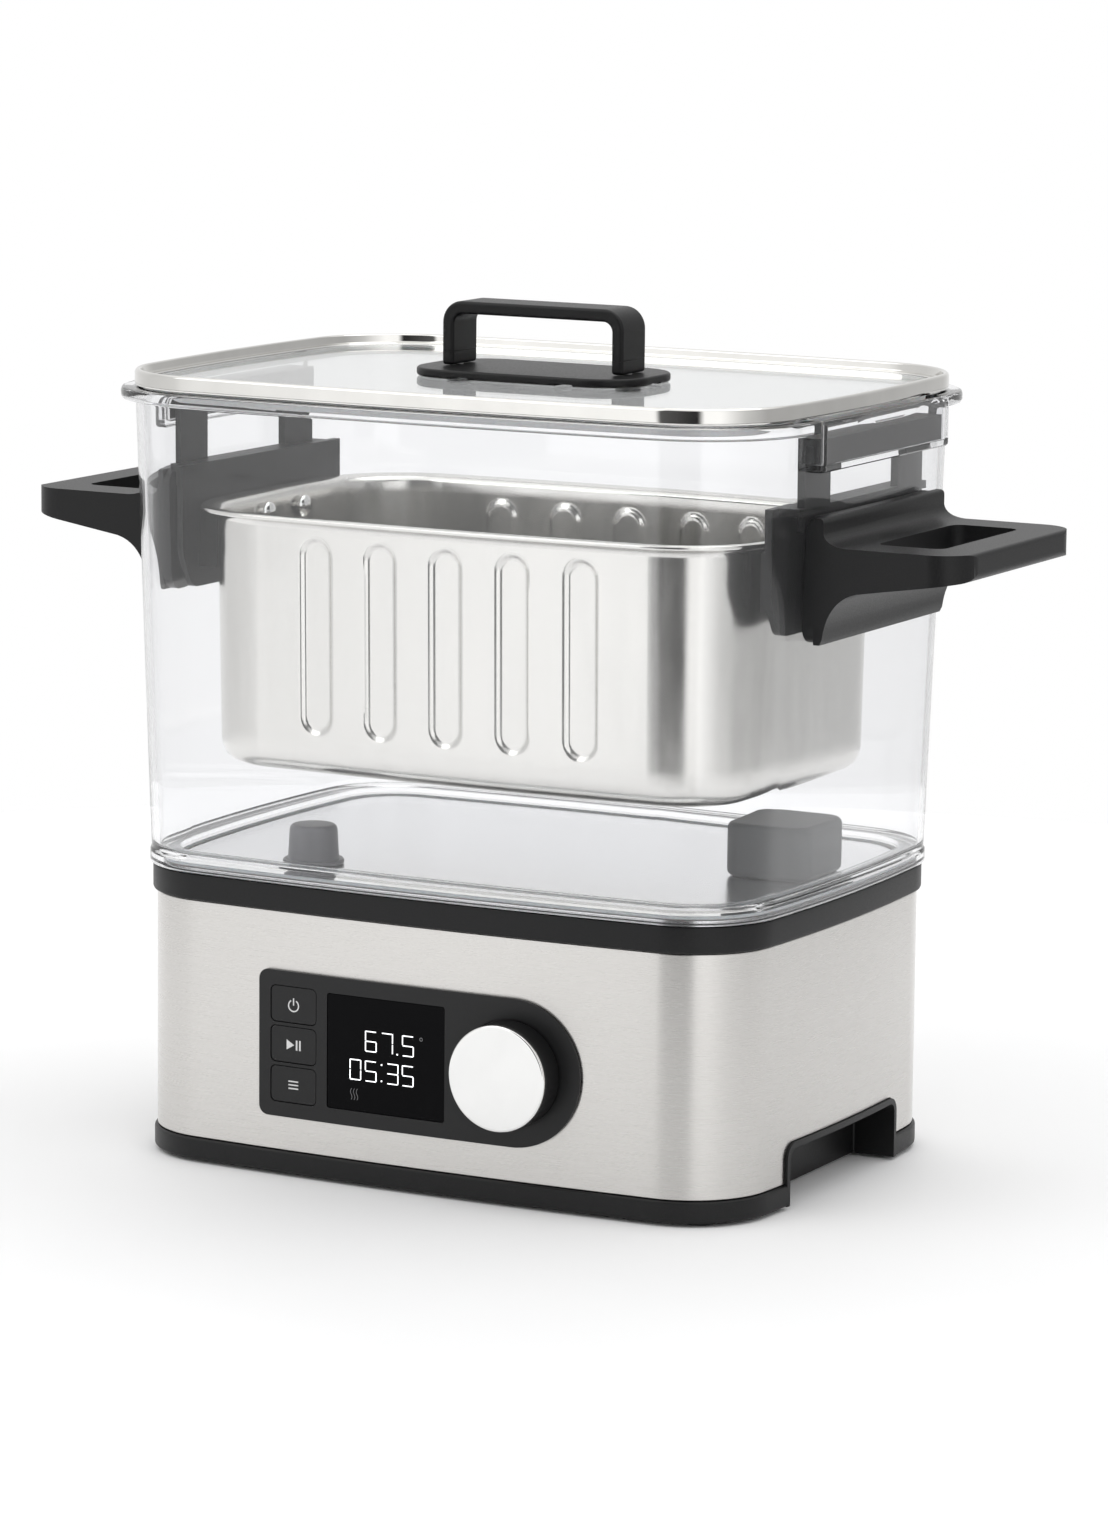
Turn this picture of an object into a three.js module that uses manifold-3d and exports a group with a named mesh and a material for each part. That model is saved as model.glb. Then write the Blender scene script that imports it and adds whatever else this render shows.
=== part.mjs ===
// Countertop water-bath cooker: heated base, clear tank, hanging steel insert, glass lid.
// Units are millimetres. +Z is up, -Y is the front, and the origin is under the centre, at the feet.
import * as THREE from 'three';
import { mergeVertices } from 'three/addons/utils/BufferGeometryUtils.js';
import Module from 'manifold-3d';

const wasm = await Module();
wasm.setup();

// ---- driving dimensions ----
const GAP = 0.3;                      // air between neighbouring pieces
const BODY = { halfWidth: 136, halfDepth: 98.5, frontBow: 1693, sideBow: 812, corner: 34 };
const FOOT_BOTTOM = 0;
const TRAY_BOTTOM = 1.5;
const SKIRT_BOTTOM = 10;
const SKIRT_TOP = 105;
const DECK_TOP = 116;
const TANK_FLOOR = 119;
const TANK_LEDGE = 122.3;
const TANK_RIM_BOTTOM = 299.7;
const TANK_RIM_TOP = 304.5;
const LID_BOTTOM = TANK_RIM_TOP + GAP;
const LID_TOP = 311.3;
const GLASS_TOP = 307.6;
const GLASS_THICKNESS = 3.6;
const RIM_OFFSET = 14;                // how far the tank rim stands out from the skirt outline
const WALL_TOP_OFFSET = 8.2;
const WALL_BOTTOM_OFFSET = 2.3;
const WALL_THICKNESS = 3;
const TRAY_OFFSET = 1.9;
const TRIM_OFFSET = 1.7;
const SKIRT_THICKNESS = 1.2;
const NOTCH = { halfWidth: 47, top: 23.7, innerX: 118, wall: 2.3 };
const PANEL = { left: -70, knobX: 42.5, centreZ: 53, halfHeight: 29, corner: 4 };
const KNOB_RADIUS = 20.6;
const KNOB_FRONT = -112;
const BUTTON = { width: 20.4, height: 14, pitch: 15.9, x: -54.2, travel: 0.8 };
const WINDOW = { left: -38.6, right: 13.2, bottom: 30.4, top: 75.3 };
const POCKET = { halfWidth: 57, bottom: 285, wall: 2.5 };
const SIDE_HANDLE = { halfWidth: 54.5, tip: 205.5, armWidth: 18.5, barWidth: 16.5, top: 257.2,
  tipBottom: 246.6, rootBottom: 240.4, plateBottom: 220, plateTop: 268 };
const INSERT = { halfWidth: 119, halfDepth: 77, frontBow: 1400, sideBow: 700, corner: 34 };
const INSERT_BOTTOM = 155;
const INSERT_RIM = 257;
const INSERT_WALL = 1.2;
const RIB = { pitch: 29, width: 12, bottom: 171.5, top: 248, depth: 1.3 };
const LEG = { inner: 30, outer: 52 };
const BAIL = { halfSpan: 40, halfDepth: 10, thickness: 5, top: 337 };
const LID_PLATE = { halfWidth: 50, halfDepth: 27, corner: 20, thickness: 3.5 };
const PUMP = { x: 104, y: 8, halfWidth: 17, halfDepth: 20, height: 21.7, wall: 2.3 };
const HEATER = { x: -17, halfWidth: 81, halfDepth: 60, corner: 12, bottom: 112.5, top: TANK_FLOOR - 1 - GAP };
const POST = { x: -63, y: -68, radius: 10, height: 16 };

// ---- materials ----
const finish = {
  steel: [0xc9c8c4, 0.35, 1], polished: [0xe6e6e6, 0.08, 1], black: [0x1c1c1e, 0.55, 0],
  clear: [0xe8edf2, 0.05, 0], glass: [0xdfe8e8, 0.03, 0], rubber: [0x2a2a2a, 0.9, 0],
  board: [0x1f5a36, 0.6, 0], aluminium: [0xb8babd, 0.45, 1], screen: [0x050506, 0.1, 0],
  grey: [0x4a4c50, 0.6, 0], silicone: [0xd8dadc, 0.5, 0], copper: [0x9a6a45, 0.4, 1],
};
const model = new THREE.Group();

function add(name, geometry, kind) {
  const [color, roughness, metalness] = finish[kind];
  const mesh = new THREE.Mesh(geometry, new THREE.MeshStandardMaterial({ color, roughness, metalness }));
  mesh.name = name;
  model.add(mesh);
  return mesh;
}

// ---- solids ----
function toSolid(geometry) {
  const bare = geometry.clone();
  bare.deleteAttribute('normal');
  bare.deleteAttribute('uv');
  const merged = mergeVertices(bare, 1e-4);
  const mesh = new wasm.Mesh({
    numProp: 3,
    vertProperties: new Float32Array(merged.attributes.position.array),
    triVerts: new Uint32Array(merged.index.array),
  });
  return new wasm.Manifold(mesh);
}

function toGeometry(solid) {
  const mesh = solid.getMesh();
  const geometry = new THREE.BufferGeometry();
  geometry.setAttribute('position', new THREE.BufferAttribute(new Float32Array(mesh.vertProperties), 3));
  geometry.setIndex(new THREE.BufferAttribute(new Uint32Array(mesh.triVerts), 1));
  return geometry;
}

function cut(geometry, ...tools) {
  let solid = toSolid(geometry);
  for (const tool of tools) solid = solid.subtract(toSolid(tool));
  return toGeometry(solid);
}

function join(geometry, ...others) {
  let solid = toSolid(geometry);
  for (const other of others) solid = solid.add(toSolid(other));
  return toGeometry(solid);
}

function overlap(geometry, other) {
  return toGeometry(toSolid(geometry).intersect(toSolid(other)));
}

function box(x0, x1, y0, y1, z0, z1) {
  const geometry = new THREE.BoxGeometry(x1 - x0, y1 - y0, z1 - z0);
  return geometry.translate((x0 + x1) / 2, (y0 + y1) / 2, (z0 + z1) / 2);
}

function post(x, y, z0, z1, radius, sides = 16) {
  const geometry = new THREE.CylinderGeometry(radius, radius, z1 - z0, sides);
  return geometry.rotateX(Math.PI / 2).translate(x, y, (z0 + z1) / 2);
}

// A solid turned about a line along +Z from (radius, height) pairs that start and end on the axis.
function turned(profile, sides = 32) {
  const points = profile.map(([radius, height]) => new THREE.Vector2(radius, height));
  return new THREE.LatheGeometry(points, sides).rotateX(Math.PI / 2);
}

// The same, turned about a line along -Y through (x, z), with heights measured towards the front.
function turnedForward(profile, x, z, sides = 32) {
  return turned(profile, sides).rotateX(Math.PI / 2).translate(x, 0, z);
}

// Four gently bowed sides joined by round corners, as tangent arcs, counter-clockwise.
function outline(shape, offset = 0, bowSteps = 2, turnSteps = 4) {
  const { halfWidth, halfDepth, frontBow, sideBow, corner } = shape;
  const frontY = frontBow - halfDepth;
  const sideX = halfWidth - sideBow;
  const span = Math.hypot(sideX, frontY);
  const frontReach = frontBow - corner;
  const sideReach = sideBow - corner;
  const along = (frontReach ** 2 - sideReach ** 2 + span ** 2) / (2 * span);
  const across = Math.sqrt(frontReach ** 2 - along ** 2);
  const ux = sideX / span;
  const uy = -frontY / span;
  const cx = along * ux - across * uy;
  const cy = frontY + along * uy + across * ux;
  const frontTurn = Math.atan2(cx, frontY - cy);
  const sideTurn = Math.atan2(-cy, cx - sideX);
  const quarter = [];
  for (let i = 0; i < bowSteps; i += 1) {
    const t = (frontTurn * i) / bowSteps;
    quarter.push([(frontBow + offset) * Math.sin(t), frontY - (frontBow + offset) * Math.cos(t)]);
  }
  for (let i = 0; i <= turnSteps; i += 1) {
    const t = -Math.PI / 2 + frontTurn + ((Math.PI / 2 - frontTurn - sideTurn) * i) / turnSteps;
    quarter.push([cx + (corner + offset) * Math.cos(t), cy + (corner + offset) * Math.sin(t)]);
  }
  for (let i = 1; i < bowSteps; i += 1) {
    const t = -sideTurn * (1 - i / bowSteps);
    quarter.push([sideX + (sideBow + offset) * Math.cos(t), (sideBow + offset) * Math.sin(t)]);
  }
  const right = [...quarter, [halfWidth + offset, 0]];
  for (let i = quarter.length - 1; i > 0; i -= 1) right.push([quarter[i][0], -quarter[i][1]]);
  const left = right.map(([x, y]) => [-x, -y]);
  return [...right, ...left];
}

// Skins a stack of rings that all have the same number of points.
function skin(rings, { capped }) {
  const count = rings[0].length;
  const positions = rings.flat().flat();
  const index = [];
  const last = capped ? rings.length - 1 : rings.length;
  for (let k = 0; k < last; k += 1) {
    const low = k * count;
    const high = ((k + 1) % rings.length) * count;
    for (let i = 0; i < count; i += 1) {
      const j = (i + 1) % count;
      index.push(low + i, low + j, high + j, low + i, high + j, high + i);
    }
  }
  if (capped) {
    const flat = (ring) => ring.map(([x, y]) => new THREE.Vector2(x, y));
    const base = (rings.length - 1) * count;
    for (const [a, b, c] of THREE.ShapeUtils.triangulateShape(flat(rings[0]), [])) index.push(a, c, b);
    for (const [a, b, c] of THREE.ShapeUtils.triangulateShape(flat(rings.at(-1)), [])) {
      index.push(base + a, base + b, base + c);
    }
  }
  const geometry = new THREE.BufferGeometry();
  geometry.setAttribute('position', new THREE.BufferAttribute(new Float32Array(positions), 3));
  geometry.setIndex(index);
  return geometry;
}

// A closed profile of (offset, z) pairs carried once round the outline.
function ring(shape, profile) {
  const rings = profile.map(([offset, z]) => outline(shape, offset).map(([x, y]) => [x, y, z]));
  return skin(rings, { capped: false });
}

// A dish: the (offset, z) pairs run from under its middle, up the outside and down the inside.
function dish(shape, profile) {
  const rings = profile.map(([offset, z]) => outline(shape, offset).map(([x, y]) => [x, y, z]));
  return skin(rings, { capped: true });
}

function roundedRect(x0, x1, y0, y1, radius) {
  const shape = new THREE.Shape();
  const r = Math.min(radius, (x1 - x0) / 2 - 0.01, (y1 - y0) / 2 - 0.01);
  shape.absarc(x1 - r, y0 + r, r, -Math.PI / 2, 0);
  shape.absarc(x1 - r, y1 - r, r, 0, Math.PI / 2);
  shape.absarc(x0 + r, y1 - r, r, Math.PI / 2, Math.PI);
  shape.absarc(x0 + r, y0 + r, r, Math.PI, 1.5 * Math.PI);
  return shape;
}

function slab(shape, z0, z1, curveSegments = 3) {
  const geometry = new THREE.ExtrudeGeometry(shape, { depth: z1 - z0, bevelEnabled: false, curveSegments });
  return geometry.translate(0, 0, z0);
}

// A shape drawn in X and Z, extruded along Y from yFront back to yBack.
function upright(shape, yFront, yBack, curveSegments = 3) {
  const depth = yBack - yFront;
  const geometry = new THREE.ExtrudeGeometry(shape, { depth, bevelEnabled: false, curveSegments });
  return geometry.rotateX(Math.PI / 2).translate(0, yBack, 0);
}

// A shape drawn in Y and Z, extruded along X.
function sideways(shape, x0, x1, curveSegments = 3) {
  const geometry = new THREE.ExtrudeGeometry(shape, { depth: x1 - x0, bevelEnabled: false, curveSegments });
  return geometry.rotateX(Math.PI / 2).rotateZ(Math.PI / 2).translate(x0, 0, 0);
}

// A shape drawn in X and Z on the bowed front, between two offsets of the body outline.
function frontPatch(shape, outer, inner, curveSegments = 1) {
  const wall = ring(BODY, [[outer, 0], [outer, SKIRT_TOP], [inner, SKIRT_TOP], [inner, 0]]);
  return overlap(upright(shape, -BODY.halfDepth - 8, -BODY.halfDepth + 20, curveSegments), wall);
}

function mirrored(geometry) {
  return geometry.clone().rotateZ(Math.PI);
}

const ends = [['right', 1], ['left', -1]];
const corners = [['front_right', 1, -1], ['front_left', -1, -1], ['rear_left', -1, 1], ['rear_right', 1, 1]];

// ---- base: tray, skirt, trim, feet ----
const FOOT_PLACE = { x: 114.5, y: 81.5 };
const SCREW_PLACE = { x: 88, y: 62 };
const DECK_THICKNESS = 3.5;
const HEATER_LEDGE = 8;
const MAGNET_RADIUS = 13;

function notchBox(extra, x0) {
  const half = NOTCH.halfWidth + extra;
  const shape = roundedRect(-half, half, -30, NOTCH.top + extra, 4 + extra);
  return sideways(shape, x0, 160, 2);
}

function baseTray() {
  const inner = -6;
  const pan = dish(BODY, [
    [-20, TRAY_BOTTOM], [TRAY_OFFSET - 1, TRAY_BOTTOM], [TRAY_OFFSET, TRAY_BOTTOM + 1],
    [TRAY_OFFSET, SKIRT_BOTTOM - 1], [TRAY_OFFSET - 1, SKIRT_BOTTOM], [inner, SKIRT_BOTTOM],
    [inner, TRAY_BOTTOM + 2.5], [-20, TRAY_BOTTOM + 2.5],
  ]);
  const limit = dish(BODY, [[1.2, TRAY_BOTTOM], [1.2, 60]]);
  const liner = overlap(notchBox(NOTCH.wall, NOTCH.innerX - NOTCH.wall), limit);
  const opening = notchBox(0, NOTCH.innerX);
  let tray = join(pan, liner, mirrored(liner));
  tray = cut(tray, opening, mirrored(opening));
  for (const [, sx, sy] of corners) {
    tray = cut(tray, post(sx * FOOT_PLACE.x, sy * FOOT_PLACE.y, -5, 20, 3.3, 16));
    tray = cut(tray, post(sx * SCREW_PLACE.x, sy * SCREW_PLACE.y, -5, 20, 2.2, 16));
  }
  return tray;
}

function panelShape(extra = 0) {
  const { left, knobX, centreZ, halfHeight, corner } = PANEL;
  const shape = new THREE.Shape();
  const r = corner + extra;
  shape.absarc(left + corner, centreZ - halfHeight + corner, r, Math.PI, 1.5 * Math.PI);
  shape.absarc(knobX, centreZ, halfHeight + extra, -Math.PI / 2, Math.PI / 2);
  shape.absarc(left + corner, centreZ + halfHeight - corner, r, Math.PI / 2, Math.PI);
  return shape;
}

function baseSkirt() {
  const wall = ring(BODY, [
    [0, SKIRT_BOTTOM + GAP], [0, SKIRT_TOP], [-SKIRT_THICKNESS, SKIRT_TOP],
    [-SKIRT_THICKNESS, SKIRT_BOTTOM + GAP],
  ]);
  const opening = notchBox(NOTCH.wall + GAP, 100);
  const panel = upright(panelShape(-1), -120, -80, 6);
  const inlet = turnedForward([[0, -120], [8.4, -120], [8.4, -80], [0, -80]], 60, 28, 20);
  return cut(wall, opening, mirrored(opening), panel, inlet);
}

function topTrim() {
  const rim = ring(BODY, [
    [TRIM_OFFSET - 0.8, SKIRT_TOP + GAP], [TRIM_OFFSET, SKIRT_TOP + 1.1], [TRIM_OFFSET, DECK_TOP - 0.8],
    [TRIM_OFFSET - 0.8, DECK_TOP], [-7, DECK_TOP], [-7, SKIRT_TOP + GAP],
  ]);
  const deck = dish(BODY, [[-6, HEATER.bottom - GAP - DECK_THICKNESS], [-6, HEATER.bottom - GAP]]);
  const halfX = HEATER.halfWidth - HEATER_LEDGE;
  const halfY = HEATER.halfDepth - HEATER_LEDGE;
  const hole = slab(roundedRect(HEATER.x - halfX, HEATER.x + halfX, -halfY, halfY, HEATER.corner), 100, 120);
  return cut(join(rim, deck), hole, post(PUMP.x, PUMP.y, 100, 120, MAGNET_RADIUS + 1.5, 24));
}

function baseFrame() {
  let frame = ring(BODY, [[-2, 97], [-2, 104.7], [-14, 104.7], [-14, 97]]);
  for (const [, sx, sy] of corners) {
    const x = sx * SCREW_PLACE.x;
    const y = sy * SCREW_PLACE.y;
    const web = box(Math.min(x, sx * 120), Math.max(x, sx * 120), y - 1.5, y + 1.5, 90, 104.7);
    const rail = box(x - 1.5, x + 1.5, Math.min(y, sy * 90), Math.max(y, sy * 90), 90, 104.7);
    frame = join(frame, post(x, y, 4.3, 104.7, 5, 20), web, rail);
    frame = cut(frame, post(x, y, 0, 22, 2, 16));
  }
  return frame;
}

add('base_skirt', baseSkirt(), 'steel');
add('base_tray', baseTray(), 'black');
add('top_trim', topTrim(), 'black');
add('base_frame', baseFrame(), 'grey');
const footProfile = [[0, FOOT_BOTTOM], [6.4, FOOT_BOTTOM], [7, 0.4], [7, 1.2], [3, 1.2], [3, 4.5], [0, 4.5]];
for (const [where, sx, sy] of corners) {
  const foot = turned(footProfile, 16);
  add(`foot_${where}`, foot.translate(sx * FOOT_PLACE.x, sy * FOOT_PLACE.y, 0), 'rubber');
  const screw = turned([[0, 0.6], [3.6, 0.6], [3.6, 1.2], [1.6, 1.2], [1.6, 18], [0, 18]], 10);
  add(`base_screw_${where}`, screw.translate(sx * SCREW_PLACE.x, sy * SCREW_PLACE.y, 0), 'steel');
}

// ---- base: heater, sensor, pump drive, boards, inlet ----
const SENSOR_RADIUS = 7;
const heaterOutline = roundedRect(HEATER.x - HEATER.halfWidth, HEATER.x + HEATER.halfWidth,
  -HEATER.halfDepth, HEATER.halfDepth, HEATER.corner);
add('heater_plate', cut(slab(heaterOutline, HEATER.bottom, HEATER.top),
  post(HEATER.x, 0, 100, 120, SENSOR_RADIUS + 1)), 'aluminium');

function heatingElement() {
  const z = HEATER.bottom - GAP - 3.2;
  const reach = { left: -82, right: 44, half: 42, turn: 18 };
  const point = (x, y) => new THREE.Vector3(x, y, z);
  const stations = [];
  const turn = (cx, cy, from, to) => {
    for (let i = 0; i <= 5; i += 1) {
      const t = from + ((to - from) * i) / 5;
      stations.push(point(cx + reach.turn * Math.cos(t), cy + reach.turn * Math.sin(t)));
    }
  };
  stations.push(point(-20, -reach.half), point(10, -reach.half));
  turn(reach.right - reach.turn, -reach.half + reach.turn, -Math.PI / 2, 0);
  turn(reach.right - reach.turn, reach.half - reach.turn, 0, Math.PI / 2);
  turn(reach.left + reach.turn, reach.half - reach.turn, Math.PI / 2, Math.PI);
  turn(reach.left + reach.turn, -reach.half + reach.turn, Math.PI, 1.5 * Math.PI);
  stations.push(point(-34, -reach.half));
  const smooth = new THREE.CatmullRomCurve3(stations);
  const section = new THREE.Shape();
  section.absarc(0, 0, 3.2, 0, 2 * Math.PI);
  return new THREE.ExtrudeGeometry(section, { steps: 40, extrudePath: smooth, curveSegments: 4 });
}

add('heating_element', heatingElement(), 'copper');
const fuseTop = HEATER.bottom - GAP;
const fuseTab = box(-60, -36, 8, 20, fuseTop - 2, fuseTop);
add('thermal_fuse', join(fuseTab, post(-48, 14, fuseTop - 10, fuseTop - 1, 5.5)), 'steel');
const sensorProfile = [
  [0, 92], [2.5, 92], [2.5, 105], [SENSOR_RADIUS, 105], [SENSOR_RADIUS, HEATER.top - 1],
  [SENSOR_RADIUS - 1, HEATER.top], [0, HEATER.top],
];
add('temperature_sensor', turned(sensorProfile).translate(HEATER.x, 0, 0), 'aluminium');
const holderBar = box(-70, 36, -5, 5, 84, 88);
const holderBore = post(HEATER.x, 0, 88.5, 110, 2.9);
add('sensor_holder', cut(join(post(HEATER.x, 0, 84, 101, 9), holderBar), holderBore), 'grey');

function pumpMotor() {
  const can = turned([[0, 60], [15, 60], [17, 62], [17, 92], [15, 94], [0, 94]], 20);
  const flange = box(-22, 22, -6, 6, 91, 94);
  return cut(join(can, flange), post(0, 0, 80, 100, 3)).translate(PUMP.x, PUMP.y, 0);
}

const magnetTop = TANK_FLOOR - 1 - GAP;
const magnet = turned([[0, 82], [2.5, 82], [2.5, 104], [MAGNET_RADIUS - 1, 104], [MAGNET_RADIUS, 105],
  [MAGNET_RADIUS, magnetTop - 2.5], [MAGNET_RADIUS - 1, magnetTop - 1.5], [0, magnetTop - 1.5]], 20);
add('pump_motor', pumpMotor(), 'steel');
const magnetBar = box(-11, 11, -2, 2, magnetTop - 2, magnetTop);
add('drive_magnet', join(magnet, magnetBar).translate(PUMP.x, PUMP.y, 0), 'grey');

function powerBoard() {
  const board = box(-78, 40, 12, 76, 30, 31.8);
  const parts = [
    box(-70, -42, 24, 60, 31.5, 58),
    box(-30, -8, 20, 48, 31.5, 50),
    box(6, 30, 50, 70, 31.5, 47),
  ];
  for (const [x, y] of [[-20, 62], [-4, 62], [14, 30]]) parts.push(post(x, y, 31.5, 54, 6.5, 20));
  for (const [x, y] of [[-72, 18], [-72, 70], [34, 18], [34, 70]]) parts.push(post(x, y, 4.3, 31, 3, 12));
  return join(board, ...parts);
}

add('power_board', powerBoard(), 'board');

const BOARD_FRONT = -86;
function controlBoard() {
  const board = box(-68, 66, BOARD_FRONT, BOARD_FRONT + 1.6, 27, 80);
  const switches = [-1, 0, 1].map((row) => {
    const z = PANEL.centreZ + row * BUTTON.pitch;
    return box(BUTTON.x - 3, BUTTON.x + 3, -91.6, BOARD_FRONT + 0.5, z - 3, z + 3);
  });
  return join(board, ...switches, box(-30, 10, BOARD_FRONT + 1, BOARD_FRONT + 7, 34, 48));
}

add('control_board', controlBoard(), 'board');
add('display_module', box(-36, 10.6, -94.6, BOARD_FRONT - GAP, 32, 73), 'grey');
add('encoder', cut(box(PANEL.knobX - 7, PANEL.knobX + 7, -93.5, BOARD_FRONT - GAP, 46, 60),
  turnedForward([[0, 87.4], [3.3, 87.4], [3.3, 99], [0, 99]], PANEL.knobX, PANEL.centreZ, 16)), 'steel');

function cordInlet() {
  const gland = turnedForward([[0, -80], [10.5, -80], [10.5, -95.2], [8, -95.2], [8, -98.4], [10.5, -98.4],
    [10.5, -102], [9.5, -103], [0, -103]].reverse(), 60, 28, 20);
  return cut(gland, turnedForward([[0, -110], [4, -110], [4, -70], [0, -70]], 60, 28, 20));
}

add('cord_inlet', cordInlet(), 'black');

// ---- base: control panel ----
function buttonShape(row, extra = 0) {
  const z = PANEL.centreZ + row * BUTTON.pitch;
  return roundedRect(BUTTON.x - BUTTON.width / 2 - extra, BUTTON.x + BUTTON.width / 2 + extra,
    z - BUTTON.height / 2 - extra, z + BUTTON.height / 2 + extra, 2 + extra);
}

function windowShape(extra = 0) {
  const { left, right, bottom, top } = WINDOW;
  return roundedRect(left - extra, right + extra, bottom - extra, top + extra, 0.8);
}

function controlBezel() {
  const face = frontPatch(panelShape(), 1.5, GAP, 8);
  const tongue = frontPatch(panelShape(-1.4), 0.6, -3, 8);
  const well = turnedForward([[0, 98.6], [KNOB_RADIUS + 0.8, 98.6], [KNOB_RADIUS + 0.8, 120], [0, 120]],
    PANEL.knobX, PANEL.centreZ);
  const hole = turnedForward([[0, 80], [6.5, 80], [6.5, 120], [0, 120]], PANEL.knobX, PANEL.centreZ, 24);
  const slots = [-1, 0, 1].map((row) => upright(buttonShape(row, 0.35), -120, -80, 1));
  return cut(join(face, tongue), well, hole, upright(windowShape(0.3), -120, -80, 1), ...slots);
}

add('control_bezel', controlBezel(), 'black');
add('display_window', frontPatch(windowShape(), 1.2, -1.2), 'screen');
['power_button', 'start_button', 'menu_button'].forEach((name, i) => {
  add(name, frontPatch(buttonShape(1 - i), 1.3, -4), 'black');
});
const onKnob = (profile, sides = 32) => turnedForward(profile, PANEL.knobX, PANEL.centreZ, sides);
const knobProfile = [
  [0, 94.8], [5.8, 94.8], [5.8, 99.2], [KNOB_RADIUS - 0.6, 99.2], [KNOB_RADIUS, 99.8],
  [KNOB_RADIUS, 110.2], [0, 110.2],
];
const shaftBore = onKnob([[0, 90], [3.3, 90], [3.3, 106.4], [0, 106.4]], 20);
add('knob_body', cut(onKnob(knobProfile), shaftBore), 'black');
const capProfile = [
  [0, 110.4], [KNOB_RADIUS, 110.4], [KNOB_RADIUS + 0.2, 111.2], [KNOB_RADIUS - 0.6, -KNOB_FRONT],
  [0, -KNOB_FRONT],
];
add('knob_cap', onKnob(capProfile), 'polished');
add('encoder_shaft', onKnob([[0, 87.8], [3, 87.8], [3, 106], [0, 106]], 16), 'steel');

// ---- tank ----
function tankShell() {
  const shell = ring(BODY, [
    [2.9, DECK_TOP + GAP], [2.9, 121.5], [WALL_BOTTOM_OFFSET, 122.3], [WALL_TOP_OFFSET, TANK_RIM_BOTTOM],
    [RIM_OFFSET - 0.6, TANK_RIM_BOTTOM], [RIM_OFFSET, TANK_RIM_BOTTOM + 0.8],
    [RIM_OFFSET, TANK_RIM_TOP - 0.8], [RIM_OFFSET - 0.8, TANK_RIM_TOP],
    [WALL_TOP_OFFSET - WALL_THICKNESS, TANK_RIM_TOP],
    [WALL_BOTTOM_OFFSET - WALL_THICKNESS, TANK_LEDGE + 0.5], [-9, TANK_LEDGE], [-9, TANK_LEDGE - 2.7],
    [-2.2, TANK_LEDGE - 2.7], [-2.2, DECK_TOP + GAP],
  ]);
  const outerX = BODY.halfWidth + RIM_OFFSET - 0.5;
  const { halfWidth: half, bottom, wall } = POCKET;
  const pocket = box(134, outerX, -half, half, bottom, TANK_RIM_TOP - 1);
  const trench = box(130, outerX - wall, wall - half, half - wall, bottom + wall, TANK_RIM_TOP + 5);
  const inside = dish(BODY, [[WALL_BOTTOM_OFFSET - WALL_THICKNESS, TANK_LEDGE + 1],
    [WALL_TOP_OFFSET - WALL_THICKNESS, TANK_RIM_TOP + 1]]);
  let tank = cut(join(shell, pocket, mirrored(pocket)), trench, mirrored(trench), inside);
  for (const [, sx] of ends) {
    for (const y of [-HANDLE_SCREW_Y, HANDLE_SCREW_Y]) {
      const bore = post(0, 0, 120, 160, 2.6, 16).rotateY(Math.PI / 2).translate(0, y, HANDLE_SCREW_Z);
      tank = cut(tank, sx > 0 ? bore : bore.rotateZ(Math.PI));
    }
  }
  return tank;
}

const HANDLE_SCREW_Y = 36;
const HANDLE_SCREW_Z = 231;
add('tank_shell', tankShell(), 'clear');

const floorPan = dish(BODY, [
  [-12, TANK_FLOOR - 1], [-10, DECK_TOP + 0.6], [-3, DECK_TOP + 0.6], [-3, DECK_TOP + 1.6],
  [-9.2, DECK_TOP + 1.6], [-11.6, TANK_FLOOR], [-12, TANK_FLOOR],
]);
add('tank_floor', floorPan, 'steel');
const sealBottom = DECK_TOP + 1.9;
const sealTop = DECK_TOP + 3.3;
add('floor_seal', ring(BODY, [[-3, sealBottom], [-3, sealTop], [-9, sealTop], [-9, sealBottom]]), 'silicone');

function pumpCover() {
  const { halfWidth: w, halfDepth: d, height, wall } = PUMP;
  const outside = slab(roundedRect(-w, w, -d, d, 8), TANK_FLOOR + GAP, TANK_FLOOR + height);
  const roof = TANK_FLOOR + height - wall;
  const inside = slab(roundedRect(wall - w, w - wall, wall - d, d - wall, 6), TANK_FLOOR - 1, roof);
  const slots = [];
  for (let i = -2; i <= 2; i += 1) {
    slots.push(box(-w - 5, -w + 5, i * 5.5 - 1.4, i * 5.5 + 1.4, TANK_FLOOR + 5, TANK_FLOOR + 16));
  }
  slots.push(box(-6, 6, d - 5, d + 5, TANK_FLOOR + 5, TANK_FLOOR + 15));
  return cut(outside, inside, ...slots).translate(PUMP.x, PUMP.y, 0);
}

function impeller() {
  const hub = turned([
    [0, TANK_FLOOR + 0.6], [12.5, TANK_FLOOR + 0.6], [12.5, TANK_FLOOR + 5], [5, TANK_FLOOR + 5],
    [5, TANK_FLOOR + 17], [0, TANK_FLOOR + 17],
  ], 20);
  const blades = [];
  for (let i = 0; i < 6; i += 1) {
    blades.push(box(3, 12, -0.9, 0.9, TANK_FLOOR + 4.5, TANK_FLOOR + 15).rotateZ((i * Math.PI) / 3));
  }
  return join(hub, ...blades).translate(PUMP.x, PUMP.y, 0);
}

add('pump_cover', pumpCover(), 'grey');
add('impeller', impeller(), 'grey');
const postTop = TANK_FLOOR + POST.height;
const postProfile = [
  [0, TANK_FLOOR + GAP], [POST.radius + 2, TANK_FLOOR + GAP], [POST.radius + 2, TANK_FLOOR + 2.3],
  [POST.radius, TANK_FLOOR + 2.3], [POST.radius - 0.6, postTop - 1], [POST.radius - 2, postTop], [0, postTop],
];
add('level_sensor', turned(postProfile, 20).translate(POST.x, POST.y, 0), 'grey');

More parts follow.
